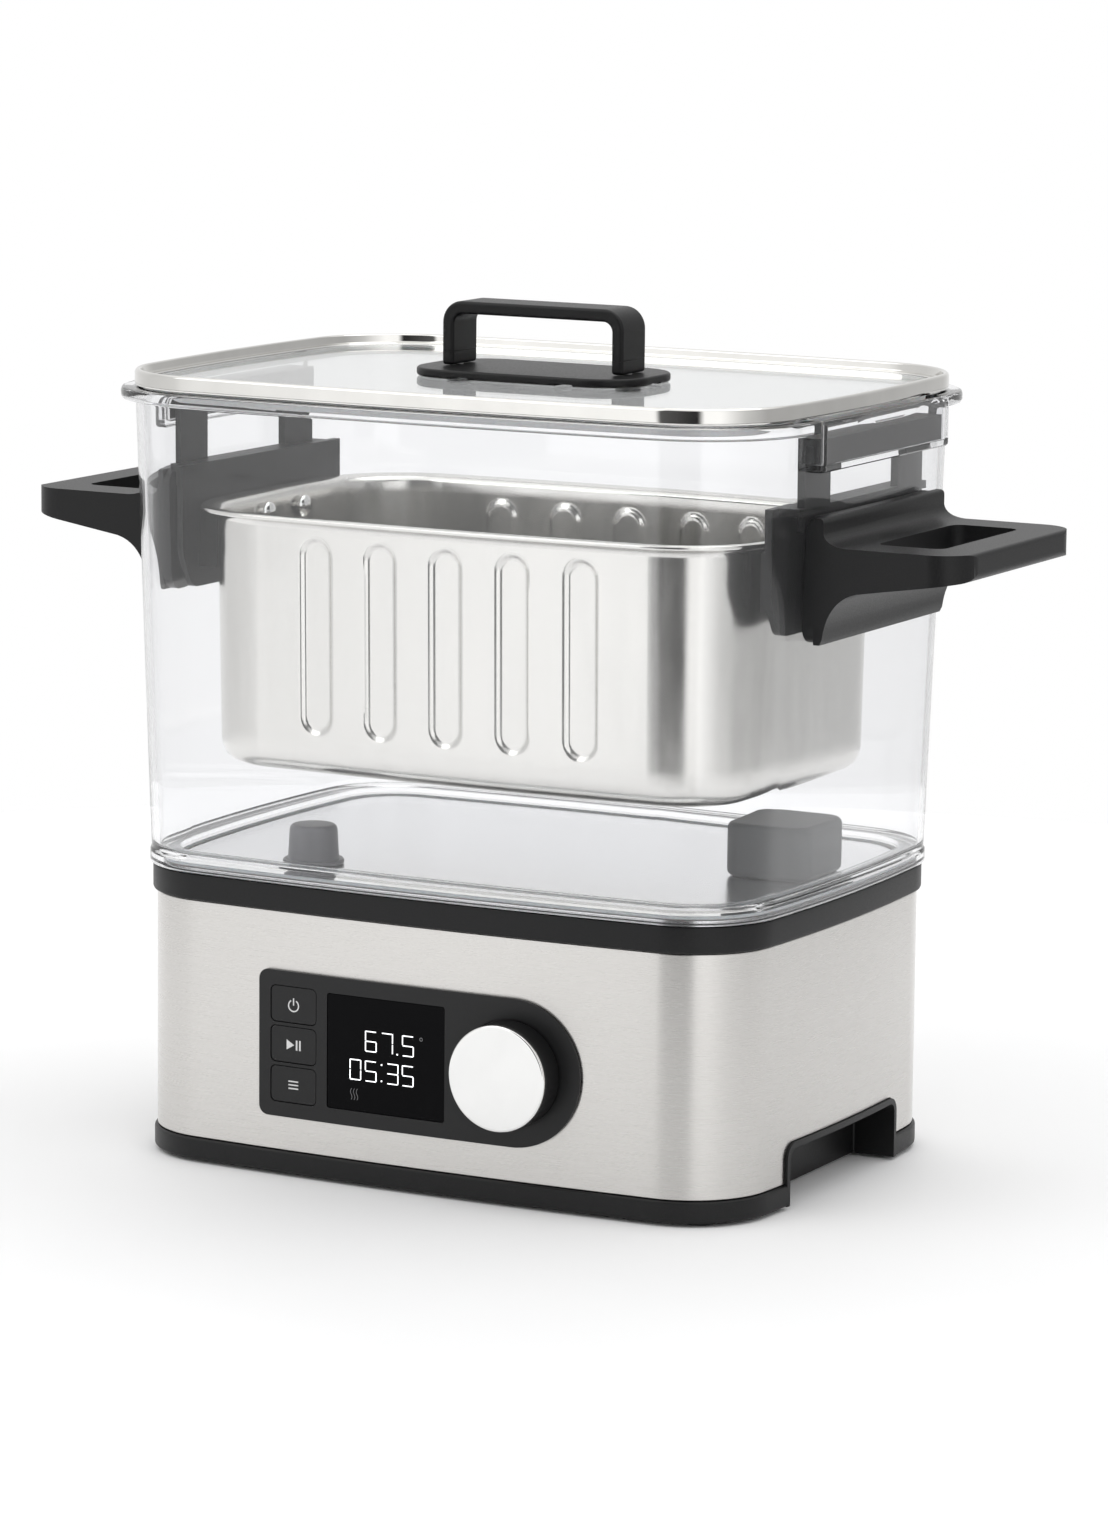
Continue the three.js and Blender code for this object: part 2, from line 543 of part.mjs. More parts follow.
// ---- side handles ----
function sideHandle() {
  const h = SIDE_HANDLE;
  const profile = new THREE.Shape();
  const face = 148.5;
  profile.moveTo(140, h.plateBottom);
  profile.lineTo(face - 1, h.plateBottom);
  profile.lineTo(face, h.plateBottom + 2);
  profile.quadraticCurveTo(face + 2, h.rootBottom - 3, face + 14, h.rootBottom);
  profile.lineTo(h.tip - 3, h.tipBottom);
  profile.quadraticCurveTo(h.tip, h.tipBottom + 0.5, h.tip, h.tipBottom + 3.5);
  profile.lineTo(h.tip, h.top - 2);
  profile.quadraticCurveTo(h.tip, h.top, h.tip - 2, h.top);
  profile.lineTo(face + 9, h.top);
  profile.quadraticCurveTo(face + 1, h.top + 0.5, face, h.top + 5);
  profile.lineTo(face, h.plateTop - 2);
  profile.quadraticCurveTo(face, h.plateTop, face - 2, h.plateTop);
  profile.lineTo(140, h.plateTop);
  const body = upright(profile, -h.halfWidth, h.halfWidth, 3);
  const plan = slab(roundedRect(100, h.tip, -h.halfWidth, h.halfWidth, 15), 200, 290, 3);
  const finger = slab(roundedRect(face + 13, h.tip - h.barWidth, -h.halfWidth + h.armWidth,
    h.halfWidth - h.armWidth, 5), 200, 290, 2);
  const plate = sideways(roundedRect(-h.halfWidth, h.halfWidth, h.plateBottom, h.plateTop, 7), 100, 150, 2);
  const reach = slab(roundedRect(145, 260, -70, 70, 1), 200, 290);
  const kept = join(overlap(body, plate), overlap(body, reach));
  const wallShape = dish(BODY, [[wallOffset(200) + GAP, 200], [wallOffset(290) + GAP, 290]]);
  let handle = cut(overlap(kept, plan), finger, wallShape);
  for (const y of [-HANDLE_SCREW_Y, HANDLE_SCREW_Y]) {
    const bore = post(0, 0, 120, 146.6, 1.9, 14).rotateY(Math.PI / 2).translate(0, y, HANDLE_SCREW_Z);
    handle = cut(handle, bore);
  }
  return handle;
}

// How far the tank wall's outside stands out from the body outline at a height.
function wallOffset(z) {
  const rise = (z - TANK_LEDGE) / (TANK_RIM_BOTTOM - TANK_LEDGE);
  return WALL_BOTTOM_OFFSET + (WALL_TOP_OFFSET - WALL_BOTTOM_OFFSET) * rise;
}

const handleSolid = sideHandle();
for (const [where, sx] of ends) {
  add(`side_handle_${where}`, sx > 0 ? handleSolid : mirrored(handleSolid), 'black');
  for (const [place, sy] of [['front', -1], ['rear', 1]]) {
    const screw = turned([[0, 134.6], [4.5, 134.6], [4.5, 136.2], [1.6, 137], [1.6, 146], [0, 146]], 10);
    screw.rotateY(Math.PI / 2).translate(0, sx * sy * HANDLE_SCREW_Y, HANDLE_SCREW_Z);
    add(`handle_screw_${where}_${place}`, sx > 0 ? screw : mirrored(screw), 'steel');
  }
}

// ---- insert ----
const RIVET = { y: 14, z: 248.5 };

// A band that follows the insert's leaning wall, between two depths from its outside.
function wallBand(outer, inner) {
  const lean = (z) => -1.5 * (1 - (z - INSERT_BOTTOM - 9) / (INSERT_RIM - INSERT_BOTTOM - 13));
  const z0 = RIB.bottom - 2;
  const z1 = RIB.top + 2;
  return ring(INSERT, [
    [lean(z0) + outer, z0], [lean(z1) + outer, z1], [lean(z1) + inner, z1], [lean(z0) + inner, z0],
  ]);
}

// A rib pressed into the wall: a bulge on the inside and a hollow on the outside.
function ribShape(x, extra) {
  const half = RIB.width / 2 + extra;
  return roundedRect(x - half, x + half, RIB.bottom - extra, RIB.top + extra, half);
}

function insertTray() {
  const wall = INSERT_WALL;
  const profile = [
    [-11, INSERT_BOTTOM], [-6, INSERT_BOTTOM + 1.2], [-2.8, INSERT_BOTTOM + 4], [-1.5, INSERT_BOTTOM + 9],
    [0, INSERT_RIM - 4], [1.5, INSERT_RIM - 2.4], [6, INSERT_RIM - 2], [7, INSERT_RIM - 1],
    [6, INSERT_RIM], [0.6, INSERT_RIM - 0.4], [-wall, INSERT_RIM - 3], [-1.5 - wall, INSERT_BOTTOM + 9],
    [-3.8, INSERT_BOTTOM + 5], [-7, INSERT_BOTTOM + 2.4], [-11, INSERT_BOTTOM + wall],
  ];
  let tray = dish(INSERT, profile);
  const near = -INSERT.halfDepth - 5;
  const far = -INSERT.halfDepth + 9;
  for (let i = -2; i <= 2; i += 1) {
    const x = i * RIB.pitch;
    const bulge = overlap(upright(ribShape(x, 0.7), near, far, 2), wallBand(-0.4, -RIB.depth - wall));
    const hollow = overlap(upright(ribShape(x, 0), near, far, 2), wallBand(4, -RIB.depth));
    tray = cut(join(tray, bulge, mirrored(bulge)), hollow, mirrored(hollow));
  }
  for (const y of [-RIVET.y, RIVET.y]) {
    const bore = post(0, 0, 105, 130, 2.5, 14).rotateY(Math.PI / 2).translate(0, y, RIVET.z);
    tray = cut(tray, bore, mirrored(bore));
  }
  return tray;
}

add('insert_tray', insertTray(), 'steel');

function hanger() {
  const shelfTop = 271;
  const apronShape = new THREE.Shape();
  apronShape.moveTo(-62, shelfTop);
  apronShape.lineTo(-62, 240);
  apronShape.quadraticCurveTo(-62, 236, -60, 233);
  apronShape.lineTo(-55, 225);
  apronShape.quadraticCurveTo(-53, 222, -49, 222);
  apronShape.lineTo(49, 222);
  apronShape.quadraticCurveTo(53, 222, 55, 225);
  apronShape.lineTo(60, 233);
  apronShape.quadraticCurveTo(62, 236, 62, 240);
  apronShape.lineTo(62, shelfTop);
  const apron = sideways(apronShape, 127.5, 130.5, 2);
  const pad = box(INSERT.halfWidth + 0.6, 128, -48, 48, 230, 252.8);
  const shelf = box(128, 137.8, -56, 56, shelfTop - 3, shelfTop);
  const legs = [-1, 1].map((side) => {
    const y0 = side > 0 ? LEG.inner : -LEG.outer;
    return box(134.8, 137.8, y0, y0 + LEG.outer - LEG.inner, 262, 297);
  });
  const band = box(134.8, 137.8, -LEG.outer, LEG.outer, 262, shelfTop);
  const top = box(134.8, 146.2, -LEG.outer, LEG.outer, 294.5, 297.5);
  const hook = box(143.4, 146.2, -LEG.outer, LEG.outer, POCKET.bottom + POCKET.wall + GAP, 297.5);
  const wallLimit = dish(INSERT, [[0.6, 150], [0.6, 300]]);
  const round = slab(roundedRect(100, 146.2, -62, 62, 3), 200, 320);
  let solid = overlap(join(apron, pad, shelf, ...legs, band, top, hook), round);
  solid = cut(solid, wallLimit);
  for (const y of [-RIVET.y, RIVET.y]) {
    solid = cut(solid, post(0, 0, 105, 126, 2.5, 14).rotateY(Math.PI / 2).translate(0, y, RIVET.z));
  }
  return solid;
}

const hangerSolid = hanger();
for (const [where, sx] of ends) {
  add(`hanger_${where}`, sx > 0 ? hangerSolid : mirrored(hangerSolid), 'black');
  for (const [place, sy] of [['front', -1], ['rear', 1]]) {
    const inner = INSERT.halfWidth - 3.2;
    const rivet = turned([
      [0, inner - 2.2], [2.6, inner - 1.9], [4.6, inner - 0.4], [4.6, inner], [2.2, inner + 0.2],
      [2.2, 125.6], [0, 125.6],
    ], 12);
    rivet.rotateY(Math.PI / 2).translate(0, sx * sy * RIVET.y, RIVET.z);
    add(`rivet_${where}_${place}`, sx > 0 ? rivet : mirrored(rivet), 'polished');
  }
}

// ---- lid ----
const GLASS_OFFSET = 2.4;
add('lid_band', ring(BODY, [
  [8, LID_BOTTOM], [8.6, LID_BOTTOM + 0.8], [8.6, LID_TOP - 1.4], [7.6, LID_TOP - 0.3], [6, LID_TOP],
  [4, LID_TOP - 0.4], [GLASS_OFFSET + GAP, GLASS_TOP + 0.5], [GLASS_OFFSET + GAP, LID_BOTTOM],
]), 'polished');

const SCREW_X = BAIL.halfSpan - BAIL.thickness / 2;
const glassBottom = GLASS_TOP - GLASS_THICKNESS;
const glassSlab = dish(BODY, [
  [GLASS_OFFSET - 0.6, glassBottom], [GLASS_OFFSET, glassBottom + 0.6],
  [GLASS_OFFSET, GLASS_TOP - 0.6], [GLASS_OFFSET - 0.6, GLASS_TOP],
]);
const lidBores = (radius) => [-1, 1].map((side) => post(side * SCREW_X, 0, 300, 315, radius, 18));
add('lid_glass', cut(glassSlab, ...lidBores(2.6)), 'glass');
add('lid_seal', ring(BODY, [
  [1.2, TANK_RIM_BOTTOM + 1], [1.8, glassBottom - GAP], [-4, glassBottom - GAP], [-3.6, TANK_RIM_BOTTOM + 1],
]), 'silicone');

const plateTop = GLASS_TOP + GAP + LID_PLATE.thickness;
const { halfWidth: plateX, halfDepth: plateY } = LID_PLATE;
const plateShape = roundedRect(-plateX, plateX, -plateY, plateY, LID_PLATE.corner);
add('lid_handle_base', cut(slab(plateShape, GLASS_TOP + GAP, plateTop, 6), ...lidBores(2)), 'black');

function bail() {
  const z0 = plateTop + GAP;
  const { halfSpan, halfDepth, thickness, top } = BAIL;
  const outer = roundedRect(-halfSpan, halfSpan, z0 - 60, top, 8.5);
  const inner = roundedRect(-halfSpan + thickness, halfSpan - thickness, z0 - 70, top - thickness, 4);
  const below = box(-90, 90, -20, 20, 200, z0);
  let hoop = cut(upright(outer, -halfDepth, halfDepth, 6), upright(inner, -20, 20, 5), below);
  for (const side of [-1, 1]) hoop = cut(hoop, post(side * SCREW_X, 0, z0 - 5, z0 + 12, 1.9, 14));
  return hoop;
}

add('lid_handle_bail', bail(), 'black');
for (const [where, sx] of ends) {
  const low = glassBottom - 2.4;
  const high = plateTop + 11;
  const screw = turned([[0, low], [5, low], [5, low + 1.9], [1.6, low + 1.9], [1.6, high], [0, high]], 12);
  add(`lid_screw_${where}`, screw.translate(sx * SCREW_X, 0, 0), 'steel');
}

export default model;
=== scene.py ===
"""A countertop water-bath cooker: heated steel base, clear lift-off tank, hanging insert and glass lid."""
import math

import bpy
from mathutils import Matrix, Vector


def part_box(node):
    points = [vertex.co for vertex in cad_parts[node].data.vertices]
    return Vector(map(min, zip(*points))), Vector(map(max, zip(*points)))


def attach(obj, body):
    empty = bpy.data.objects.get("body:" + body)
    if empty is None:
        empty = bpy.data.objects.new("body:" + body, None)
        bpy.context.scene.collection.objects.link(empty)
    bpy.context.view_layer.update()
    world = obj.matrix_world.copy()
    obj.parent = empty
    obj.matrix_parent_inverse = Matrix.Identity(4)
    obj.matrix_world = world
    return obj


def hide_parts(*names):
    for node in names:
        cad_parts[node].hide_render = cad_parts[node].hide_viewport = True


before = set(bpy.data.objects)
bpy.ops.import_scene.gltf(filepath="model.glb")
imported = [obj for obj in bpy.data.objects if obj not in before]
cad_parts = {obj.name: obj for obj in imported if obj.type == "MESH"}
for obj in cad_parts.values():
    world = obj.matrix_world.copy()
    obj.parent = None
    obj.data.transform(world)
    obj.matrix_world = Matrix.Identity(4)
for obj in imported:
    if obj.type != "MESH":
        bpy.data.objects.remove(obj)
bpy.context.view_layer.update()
MM = 0.001

# ---- driving sizes, in metres, from the frame ----
skirt_low, skirt_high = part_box("base_skirt")
insert_low, insert_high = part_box("insert_tray")
INSERT_FLANGE = 7 * MM
RIB_DEPTH = 1.3 * MM
BODY = {"half_width": skirt_high[0], "half_depth": skirt_high[1], "front_bow": 1.693, "side_bow": 0.812,
        "corner": 0.034}
INSERT = {"half_width": insert_high[0] - INSERT_FLANGE, "half_depth": insert_high[1] - INSERT_FLANGE,
          "front_bow": 1.4, "side_bow": 0.7, "corner": 0.034}
SMOOTH_ANGLE = math.radians(35)
SAME_PLACE = 0.001 * MM      # corners nearer than this are one corner
CORNERS = ("front_right", "front_left", "rear_left", "rear_right")


def middle_of(node):
    """The middle of a frame node's box."""
    return [(a + b) / 2 for a, b in zip(*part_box(node))]


# ---- ways of making a piece ----
def clear_selection():
    bpy.ops.object.select_all(action="DESELECT")


def only(piece):
    clear_selection()
    piece.select_set(True)
    bpy.context.view_layer.objects.active = piece


def named(piece, name):
    piece.name = name
    piece.data.name = name
    return piece


def outline(shape, offset, front_steps=14, side_steps=8, turn_steps=12):
    """Four gently bowed sides joined by round corners, as tangent arcs, pushed out by the offset."""
    bow_f, bow_s, corner = shape["front_bow"], shape["side_bow"], shape["corner"]
    front_y = bow_f - shape["half_depth"]
    side_x = shape["half_width"] - bow_s
    span = math.hypot(side_x, front_y)
    reach_f, reach_s = bow_f - corner, bow_s - corner
    along = (reach_f ** 2 - reach_s ** 2 + span ** 2) / (2 * span)
    across = math.sqrt(reach_f ** 2 - along ** 2)
    ux, uy = side_x / span, -front_y / span
    cx, cy = along * ux - across * uy, front_y + along * uy + across * ux
    turn_f = math.atan2(cx, front_y - cy)
    turn_s = math.atan2(-cy, cx - side_x)
    quarter = []
    for i in range(front_steps):
        t = turn_f * i / front_steps
        quarter.append(((bow_f + offset) * math.sin(t), front_y - (bow_f + offset) * math.cos(t)))
    for i in range(turn_steps + 1):
        t = turn_f - math.pi / 2 + (math.pi / 2 - turn_f - turn_s) * i / turn_steps
        quarter.append((cx + (corner + offset) * math.cos(t), cy + (corner + offset) * math.sin(t)))
    for i in range(1, side_steps):
        t = -turn_s * (1 - i / side_steps)
        quarter.append((side_x + (bow_s + offset) * math.cos(t), (bow_s + offset) * math.sin(t)))
    right = quarter + [(shape["half_width"] + offset, 0)] + [(x, -y) for x, y in quarter[:0:-1]]
    return right + [(-x, -y) for x, y in right]


def arc(cx, cy, radius, start, end, steps=8):
    """Points along an arc, with angles in degrees."""
    angles = [math.radians(start + (end - start) * i / steps) for i in range(steps + 1)]
    return [(cx + radius * math.cos(t), cy + radius * math.sin(t)) for t in angles]


def rounded(x0, x1, y0, y1, radius, steps=8):
    """A rectangle with round corners."""
    return (arc(x1 - radius, y0 + radius, radius, -90, 0, steps) + arc(x1 - radius, y1 - radius, radius, 0,
            90, steps) + arc(x0 + radius, y1 - radius, radius, 90, 180, steps) + arc(x0 + radius, y0 + radius,
                    radius, 180, 270, steps))


def select_rings(piece, count, chosen):
    bpy.ops.object.mode_set(mode="OBJECT")
    for vertex in piece.data.vertices:
        vertex.select = vertex.index // count in chosen
    bpy.ops.object.mode_set(mode="EDIT")


def carried(name, rings, closed):
    """A loop of edges extruded from ring to ring, then bridged to its start or filled at both ends."""
    count = len(rings[0])
    clear_selection()
    bpy.ops.mesh.primitive_circle_add(vertices=count, radius=0.1)
    piece = named(bpy.context.object, name)
    bpy.ops.object.mode_set(mode="EDIT")
    bpy.ops.mesh.select_mode(type="VERT")
    bpy.ops.mesh.select_all(action="SELECT")
    for _ in rings[1:]:
        bpy.ops.mesh.extrude_region_move(TRANSFORM_OT_translate={"value": (0, 0, MM)})
    bpy.ops.object.mode_set(mode="OBJECT")
    places = (place for ring in rings for place in ring)
    for vertex, place in zip(piece.data.vertices, places):
        vertex.co = place
    for face in piece.data.polygons:
        face.select = False
    for edge in piece.data.edges:
        edge.select = False
    if closed:
        select_rings(piece, count, (0, len(rings) - 1))
        bpy.ops.mesh.bridge_edge_loops()
    else:
        for end in (0, len(rings) - 1):
            bpy.ops.object.mode_set(mode="EDIT")
            bpy.ops.mesh.select_all(action="DESELECT")
            select_rings(piece, count, (end,))
            bpy.ops.mesh.edge_face_add()
    bpy.ops.mesh.select_all(action="SELECT")
    bpy.ops.mesh.normals_make_consistent(inside=False)
    bpy.ops.object.mode_set(mode="OBJECT")
    return piece


def around(name, shape, profile, closed=True, **steps):
    """A profile of (offset, height) pairs carried once round an outline."""
    return carried(name, [[(x, y, z) for x, y in outline(shape, offset, **steps)] for offset, z in profile],
                   closed)


def prism(name, points, low, high, axis="Z"):
    """A flat outline extruded along an axis. Outlines for Y are drawn in X and Z, and for X in Y and Z."""
    place = {"Z": lambda a, b, h: (a, b, h), "Y": lambda a, b, h: (a, h, b), "X": lambda a, b,
             h: (h, a, b)}[axis]
    return carried(name, [[place(a, b, h) for a, b in points] for h in (low, high)], closed=False)


def turned(name, profile, centre, axis="Z", steps=64):
    """(radius, height) pairs turned about an axis through a centre, along Z, X or towards the front."""
    x, y, z = centre
    place = {"Z": lambda r, t, h: (x + r * math.cos(t), y + r * math.sin(t), h),
             "front": lambda r, t, h: (x + r * math.cos(t), -h, z + r * math.sin(t)),
             "X": lambda r, t, h: (h, y + r * math.cos(t), z + r * math.sin(t))}[axis]
    angles = [2 * math.pi * i / steps for i in range(steps)]
    return carried(name, [[place(r, t, h) for t in angles] for r, h in profile], closed=False)


def block(name, low, high, bevel=0.0, segments=3):
    clear_selection()
    middle = [(a + b) / 2 for a, b in zip(low, high)]
    bpy.ops.mesh.primitive_cube_add(size=1, location=middle, scale=[b - a for a, b in zip(low, high)])
    bpy.ops.object.transform_apply(location=True, rotation=True, scale=True)
    piece = named(bpy.context.object, name)
    return softened(piece, bevel, segments) if bevel else piece


def apply_modifier(piece, kind, **settings):
    only(piece)
    modifier = piece.modifiers.new(kind, kind)
    for key, value in settings.items():
        setattr(modifier, key, value)
    bpy.ops.object.modifier_apply(modifier=modifier.name)
    return piece


def softened(piece, width, segments=3, angle=30):
    """Rounds every edge sharper than the angle."""
    return apply_modifier(piece, "BEVEL", width=width, segments=segments, limit_method="ANGLE",
                          angle_limit=math.radians(angle), use_clamp_overlap=True, miter_outer="MITER_ARC")


def shaped(piece, operation, *tools):
    """Joins, cuts or trims a piece with others, which are used up."""
    for tool in tools:
        apply_modifier(piece, "BOOLEAN", operation=operation, object=tool, solver="EXACT")
        mesh = tool.data
        bpy.data.objects.remove(tool)
        bpy.data.meshes.remove(mesh)
    return piece


def copied(piece, name, turn=None):
    """A copy with its own mesh, turned about +Z where the object has a second one at its other end."""
    mesh = piece.data.copy()
    twin = bpy.data.objects.new(name, mesh)
    mesh.name = name
    bpy.context.collection.objects.link(twin)
    if turn:
        mesh.transform(Matrix.Rotation(turn, 4, "Z"))
    return twin


def joined(pieces, name):
    clear_selection()
    for piece in pieces:
        piece.select_set(True)
    bpy.context.view_layer.objects.active = pieces[0]
    bpy.ops.object.join()
    return named(bpy.context.object, name)


def on_whole_mesh(piece, operator, **settings):
    """Runs one edit-mode operator on all of a piece's mesh."""
    only(piece)
    bpy.ops.object.mode_set(mode="EDIT")
    bpy.ops.mesh.select_all(action="SELECT")
    operator(**settings)
    bpy.ops.object.mode_set(mode="OBJECT")


def done(piece, finish, body, slot, *nodes, angle=SMOOTH_ANGLE):
    """Gives a piece its finish, its shading, the body it moves with and the frame's nodes it stands for."""
    piece.data.materials.clear()
    piece.data.materials.append(finish)
    on_whole_mesh(piece, bpy.ops.mesh.remove_doubles, threshold=SAME_PLACE)
    bpy.ops.object.shade_smooth_by_angle(angle=angle)
    weighted = piece.modifiers.new("face_weights", "WEIGHTED_NORMAL")
    weighted.weight, weighted.keep_sharp = 100, True
    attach(piece, body)
    if nodes:
        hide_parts(*nodes)
    return piece


# ---- finishes ----
def finish(name, **values):
    made = bpy.data.materials.new(name)
    made.use_nodes = True
    shader = made.node_tree.nodes["Principled BSDF"]
    for socket, value in values.items():
        shader.inputs[socket.replace("_", " ")].default_value = value
    return made


def new_node(tree, kind, **inputs):
    """A shader node with some of its inputs set."""
    node = tree.nodes.new("ShaderNode" + kind)
    for socket, value in inputs.items():
        node.inputs[socket.replace("_", " ")].default_value = value
    return node


def add_grain(made, scale, stretch=(1, 1, 1), detail=4.0, rough=None, bump=0.0, bump_distance=0.0001,
              tint=None):
    """A noise over the object's own coordinates drives the roughness, a little relief and a slight tint."""
    tree, links = made.node_tree, made.node_tree.links
    shader = tree.nodes["Principled BSDF"]
    where = new_node(tree, "TexCoord")
    mapping = new_node(tree, "Mapping", Scale=stretch)
    noise = new_node(tree, "TexNoise", Scale=scale, Detail=detail)
    links.new(where.outputs["Object"], mapping.inputs["Vector"])
    links.new(mapping.outputs["Vector"], noise.inputs["Vector"])
    if rough:
        spread = new_node(tree, "MapRange", From_Min=0.3, From_Max=0.7, To_Min=rough[0], To_Max=rough[1])
        links.new(noise.outputs["Fac"], spread.inputs["Value"])
        links.new(spread.outputs["Result"], shader.inputs["Roughness"])
    if bump:
        relief = new_node(tree, "Bump", Strength=bump, Distance=bump_distance)
        links.new(noise.outputs["Fac"], relief.inputs["Height"])
        links.new(relief.outputs["Normal"], shader.inputs["Normal"])
    if tint:
        ramp = new_node(tree, "ValToRGB")
        for element, position, colour in zip(ramp.color_ramp.elements, (0.3, 0.7), tint):
            element.position, element.color = position, (*colour, 1)
        links.new(noise.outputs["Fac"], ramp.inputs["Fac"])
        links.new(ramp.outputs["Color"], shader.inputs["Base Color"])
    return made


def metal(name, rough, tint, scale, stretch, bump, distance=0.00002, **more):
    made = finish(name, Metallic=1.0, **more)
    return add_grain(made, scale, stretch, rough=rough, bump=bump, bump_distance=distance, tint=tint,
                     detail=6.0)


ACROSS = (2, 2, 150)        # long in X and Y, short in Z: brushing that runs level round the body
UPWARD = (8, 8, 1.5)         # faint drawing marks that run up the insert's walls
brushed_steel = metal("brushed_steel", (0.25, 0.33), ((0.625, 0.61, 0.59), (0.665, 0.65, 0.63)), 30, ACROSS,
                      0.06, Anisotropic=0.75, Anisotropic_Rotation=0.25)
insert_steel = metal("insert_steel", (0.17, 0.25), ((0.785, 0.775, 0.745), (0.815, 0.805, 0.775)), 14, UPWARD,
                     0.02, Anisotropic=0.3, Anisotropic_Rotation=0.25)
for made in (brushed_steel, insert_steel):
    tangent = new_node(made.node_tree, "Tangent")
    tangent.direction_type, tangent.axis = "RADIAL", "Z"
    made.node_tree.links.new(tangent.outputs["Tangent"],
                             made.node_tree.nodes["Principled BSDF"].inputs["Tangent"])
plain_steel = metal("plain_steel", (0.3, 0.45), ((0.50, 0.50, 0.50), (0.60, 0.60, 0.60)), 300, (1, 1, 1), 0.1)
aluminium = metal("aluminium", (0.4, 0.6), ((0.58, 0.585, 0.60), (0.68, 0.685, 0.70)), 500, (1, 1, 1), 0.3,
                  0.0001)
copper_sheath = metal("copper_sheath", (0.35, 0.6), ((0.36, 0.24, 0.17), (0.50, 0.38, 0.30)), 200, (1, 1, 1),
                      0.1)
polished_metal = metal("polished_metal", (0.03, 0.07), ((0.82, 0.82, 0.81), (0.86, 0.86, 0.85)), 60,
                       (1, 1, 1), 0.0)
band_steel = metal("band_steel", (0.05, 0.1), ((0.70, 0.69, 0.665), (0.75, 0.74, 0.715)), 60, (1, 1, 1), 0.0)


floor_steel = add_grain(finish("floor_steel", Metallic=1.0), 300, (1, 6, 1), rough=(0.2, 0.27),
                        tint=((0.93, 0.935, 0.945), (0.955, 0.96, 0.97)))


def moulded(name, low, high, rough, scale, bump, **more):
    made = finish(name, **more)
    return add_grain(made, scale, rough=rough, bump=bump, bump_distance=0.00006, tint=(low, high), detail=2.0)


black_plastic = moulded("black_plastic", (0.006, 0.006, 0.0065), (0.010, 0.010, 0.0105), (0.34, 0.46), 1800,
                        0.2, Specular_IOR_Level=0.27)
panel_plastic = moulded("panel_plastic", (0.008, 0.008, 0.0085), (0.011, 0.011, 0.0115), (0.36, 0.44), 2500,
                        0.1, Specular_IOR_Level=0.33)
pale_grey = moulded("pale_grey_plastic", (0.19, 0.19, 0.205), (0.23, 0.23, 0.245), (0.3, 0.42), 1200, 0.1)
grey_plastic = moulded("grey_plastic", (0.075, 0.08, 0.085), (0.095, 0.10, 0.105), (0.42, 0.55), 1500, 0.2)
rubber = moulded("rubber", (0.018, 0.018, 0.018), (0.028, 0.028, 0.028), (0.75, 0.9), 900, 0.4)
circuit_board = moulded("circuit_board", (0.015, 0.09, 0.035), (0.03, 0.15, 0.06), (0.3, 0.5), 120, 0.1)
silicone = moulded("silicone", (0.70, 0.71, 0.73), (0.78, 0.79, 0.80), (0.35, 0.5), 700, 0.1,
                   Subsurface_Weight=0.1)
clear_plastic = add_grain(finish("clear_plastic", Base_Color=(0.982, 0.984, 0.992, 1),
        Transmission_Weight=0.985, IOR=1.42), 25, rough=(0.0, 0.03))
lid_glass = add_grain(finish("lid_glass", Base_Color=(0.97, 0.985, 0.98, 1), Transmission_Weight=1.0,
                             IOR=1.3), 30, rough=(0.0, 0.02))
display_glass = add_grain(finish("display_glass", Base_Color=(0.003, 0.003, 0.0035, 1),
        Specular_IOR_Level=0.05), 40, rough=(0.06, 0.12))
lit = add_grain(finish("lit_segment", Base_Color=(0.9, 0.9, 0.9, 1), Emission_Color=(0.95, 0.97, 1, 1),
                       Emission_Strength=1.1), 600, rough=(0.3, 0.5))
print_white = moulded("print_white", (0.62, 0.62, 0.62), (0.70, 0.70, 0.70), (0.4, 0.6), 800, 0.05)
dim_print = moulded("dim_print", (0.14, 0.14, 0.145), (0.17, 0.17, 0.175), (0.4, 0.6), 800, 0.05)

# ---- base: skirt, bottom trim, grip notches, top trim, feet ----
NOTCH = {"half": 47 * MM, "top": 23.7 * MM, "inner": 118 * MM, "wall": 2.3 * MM, "corner": 4 * MM}
PANEL_FRONT, PANEL_BACK = -0.12, -0.08      # what cuts or fills the panel runs between these
BEYOND = 0.16
SMOOTHER = {"front_steps": 20, "side_steps": 12, "turn_steps": 16}


def notch(extra, x0, x1=BEYOND):
    half, top, corner = NOTCH["half"] + extra, NOTCH["top"] + extra, NOTCH["corner"] + extra
    points = [(-half, -0.03), (half, -0.03)] + arc(half - corner, top - corner, corner, 0, 90)
    points += arc(-half + corner, top - corner, corner, 90, 180)
    return prism("notch", points, x0, x1, "X")


def both_ends(*pieces):
    """Each piece and its copy at the other end of the object."""
    return [one for piece in pieces for one in (piece, copied(piece, piece.name + "_far", math.pi))]


def panel_points(extra=0.0):
    low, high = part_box("control_bezel")
    half = (high[2] - low[2]) / 2
    middle, corner = (high[2] + low[2]) / 2, 4 * MM
    return (arc(low[0] + corner, middle - half + corner, corner + extra, 180, 270)
            + arc(high[0] - half, middle, half + extra, -90, 90, 40)
            + arc(low[0] + corner, middle + half - corner, corner + extra, 90, 180))


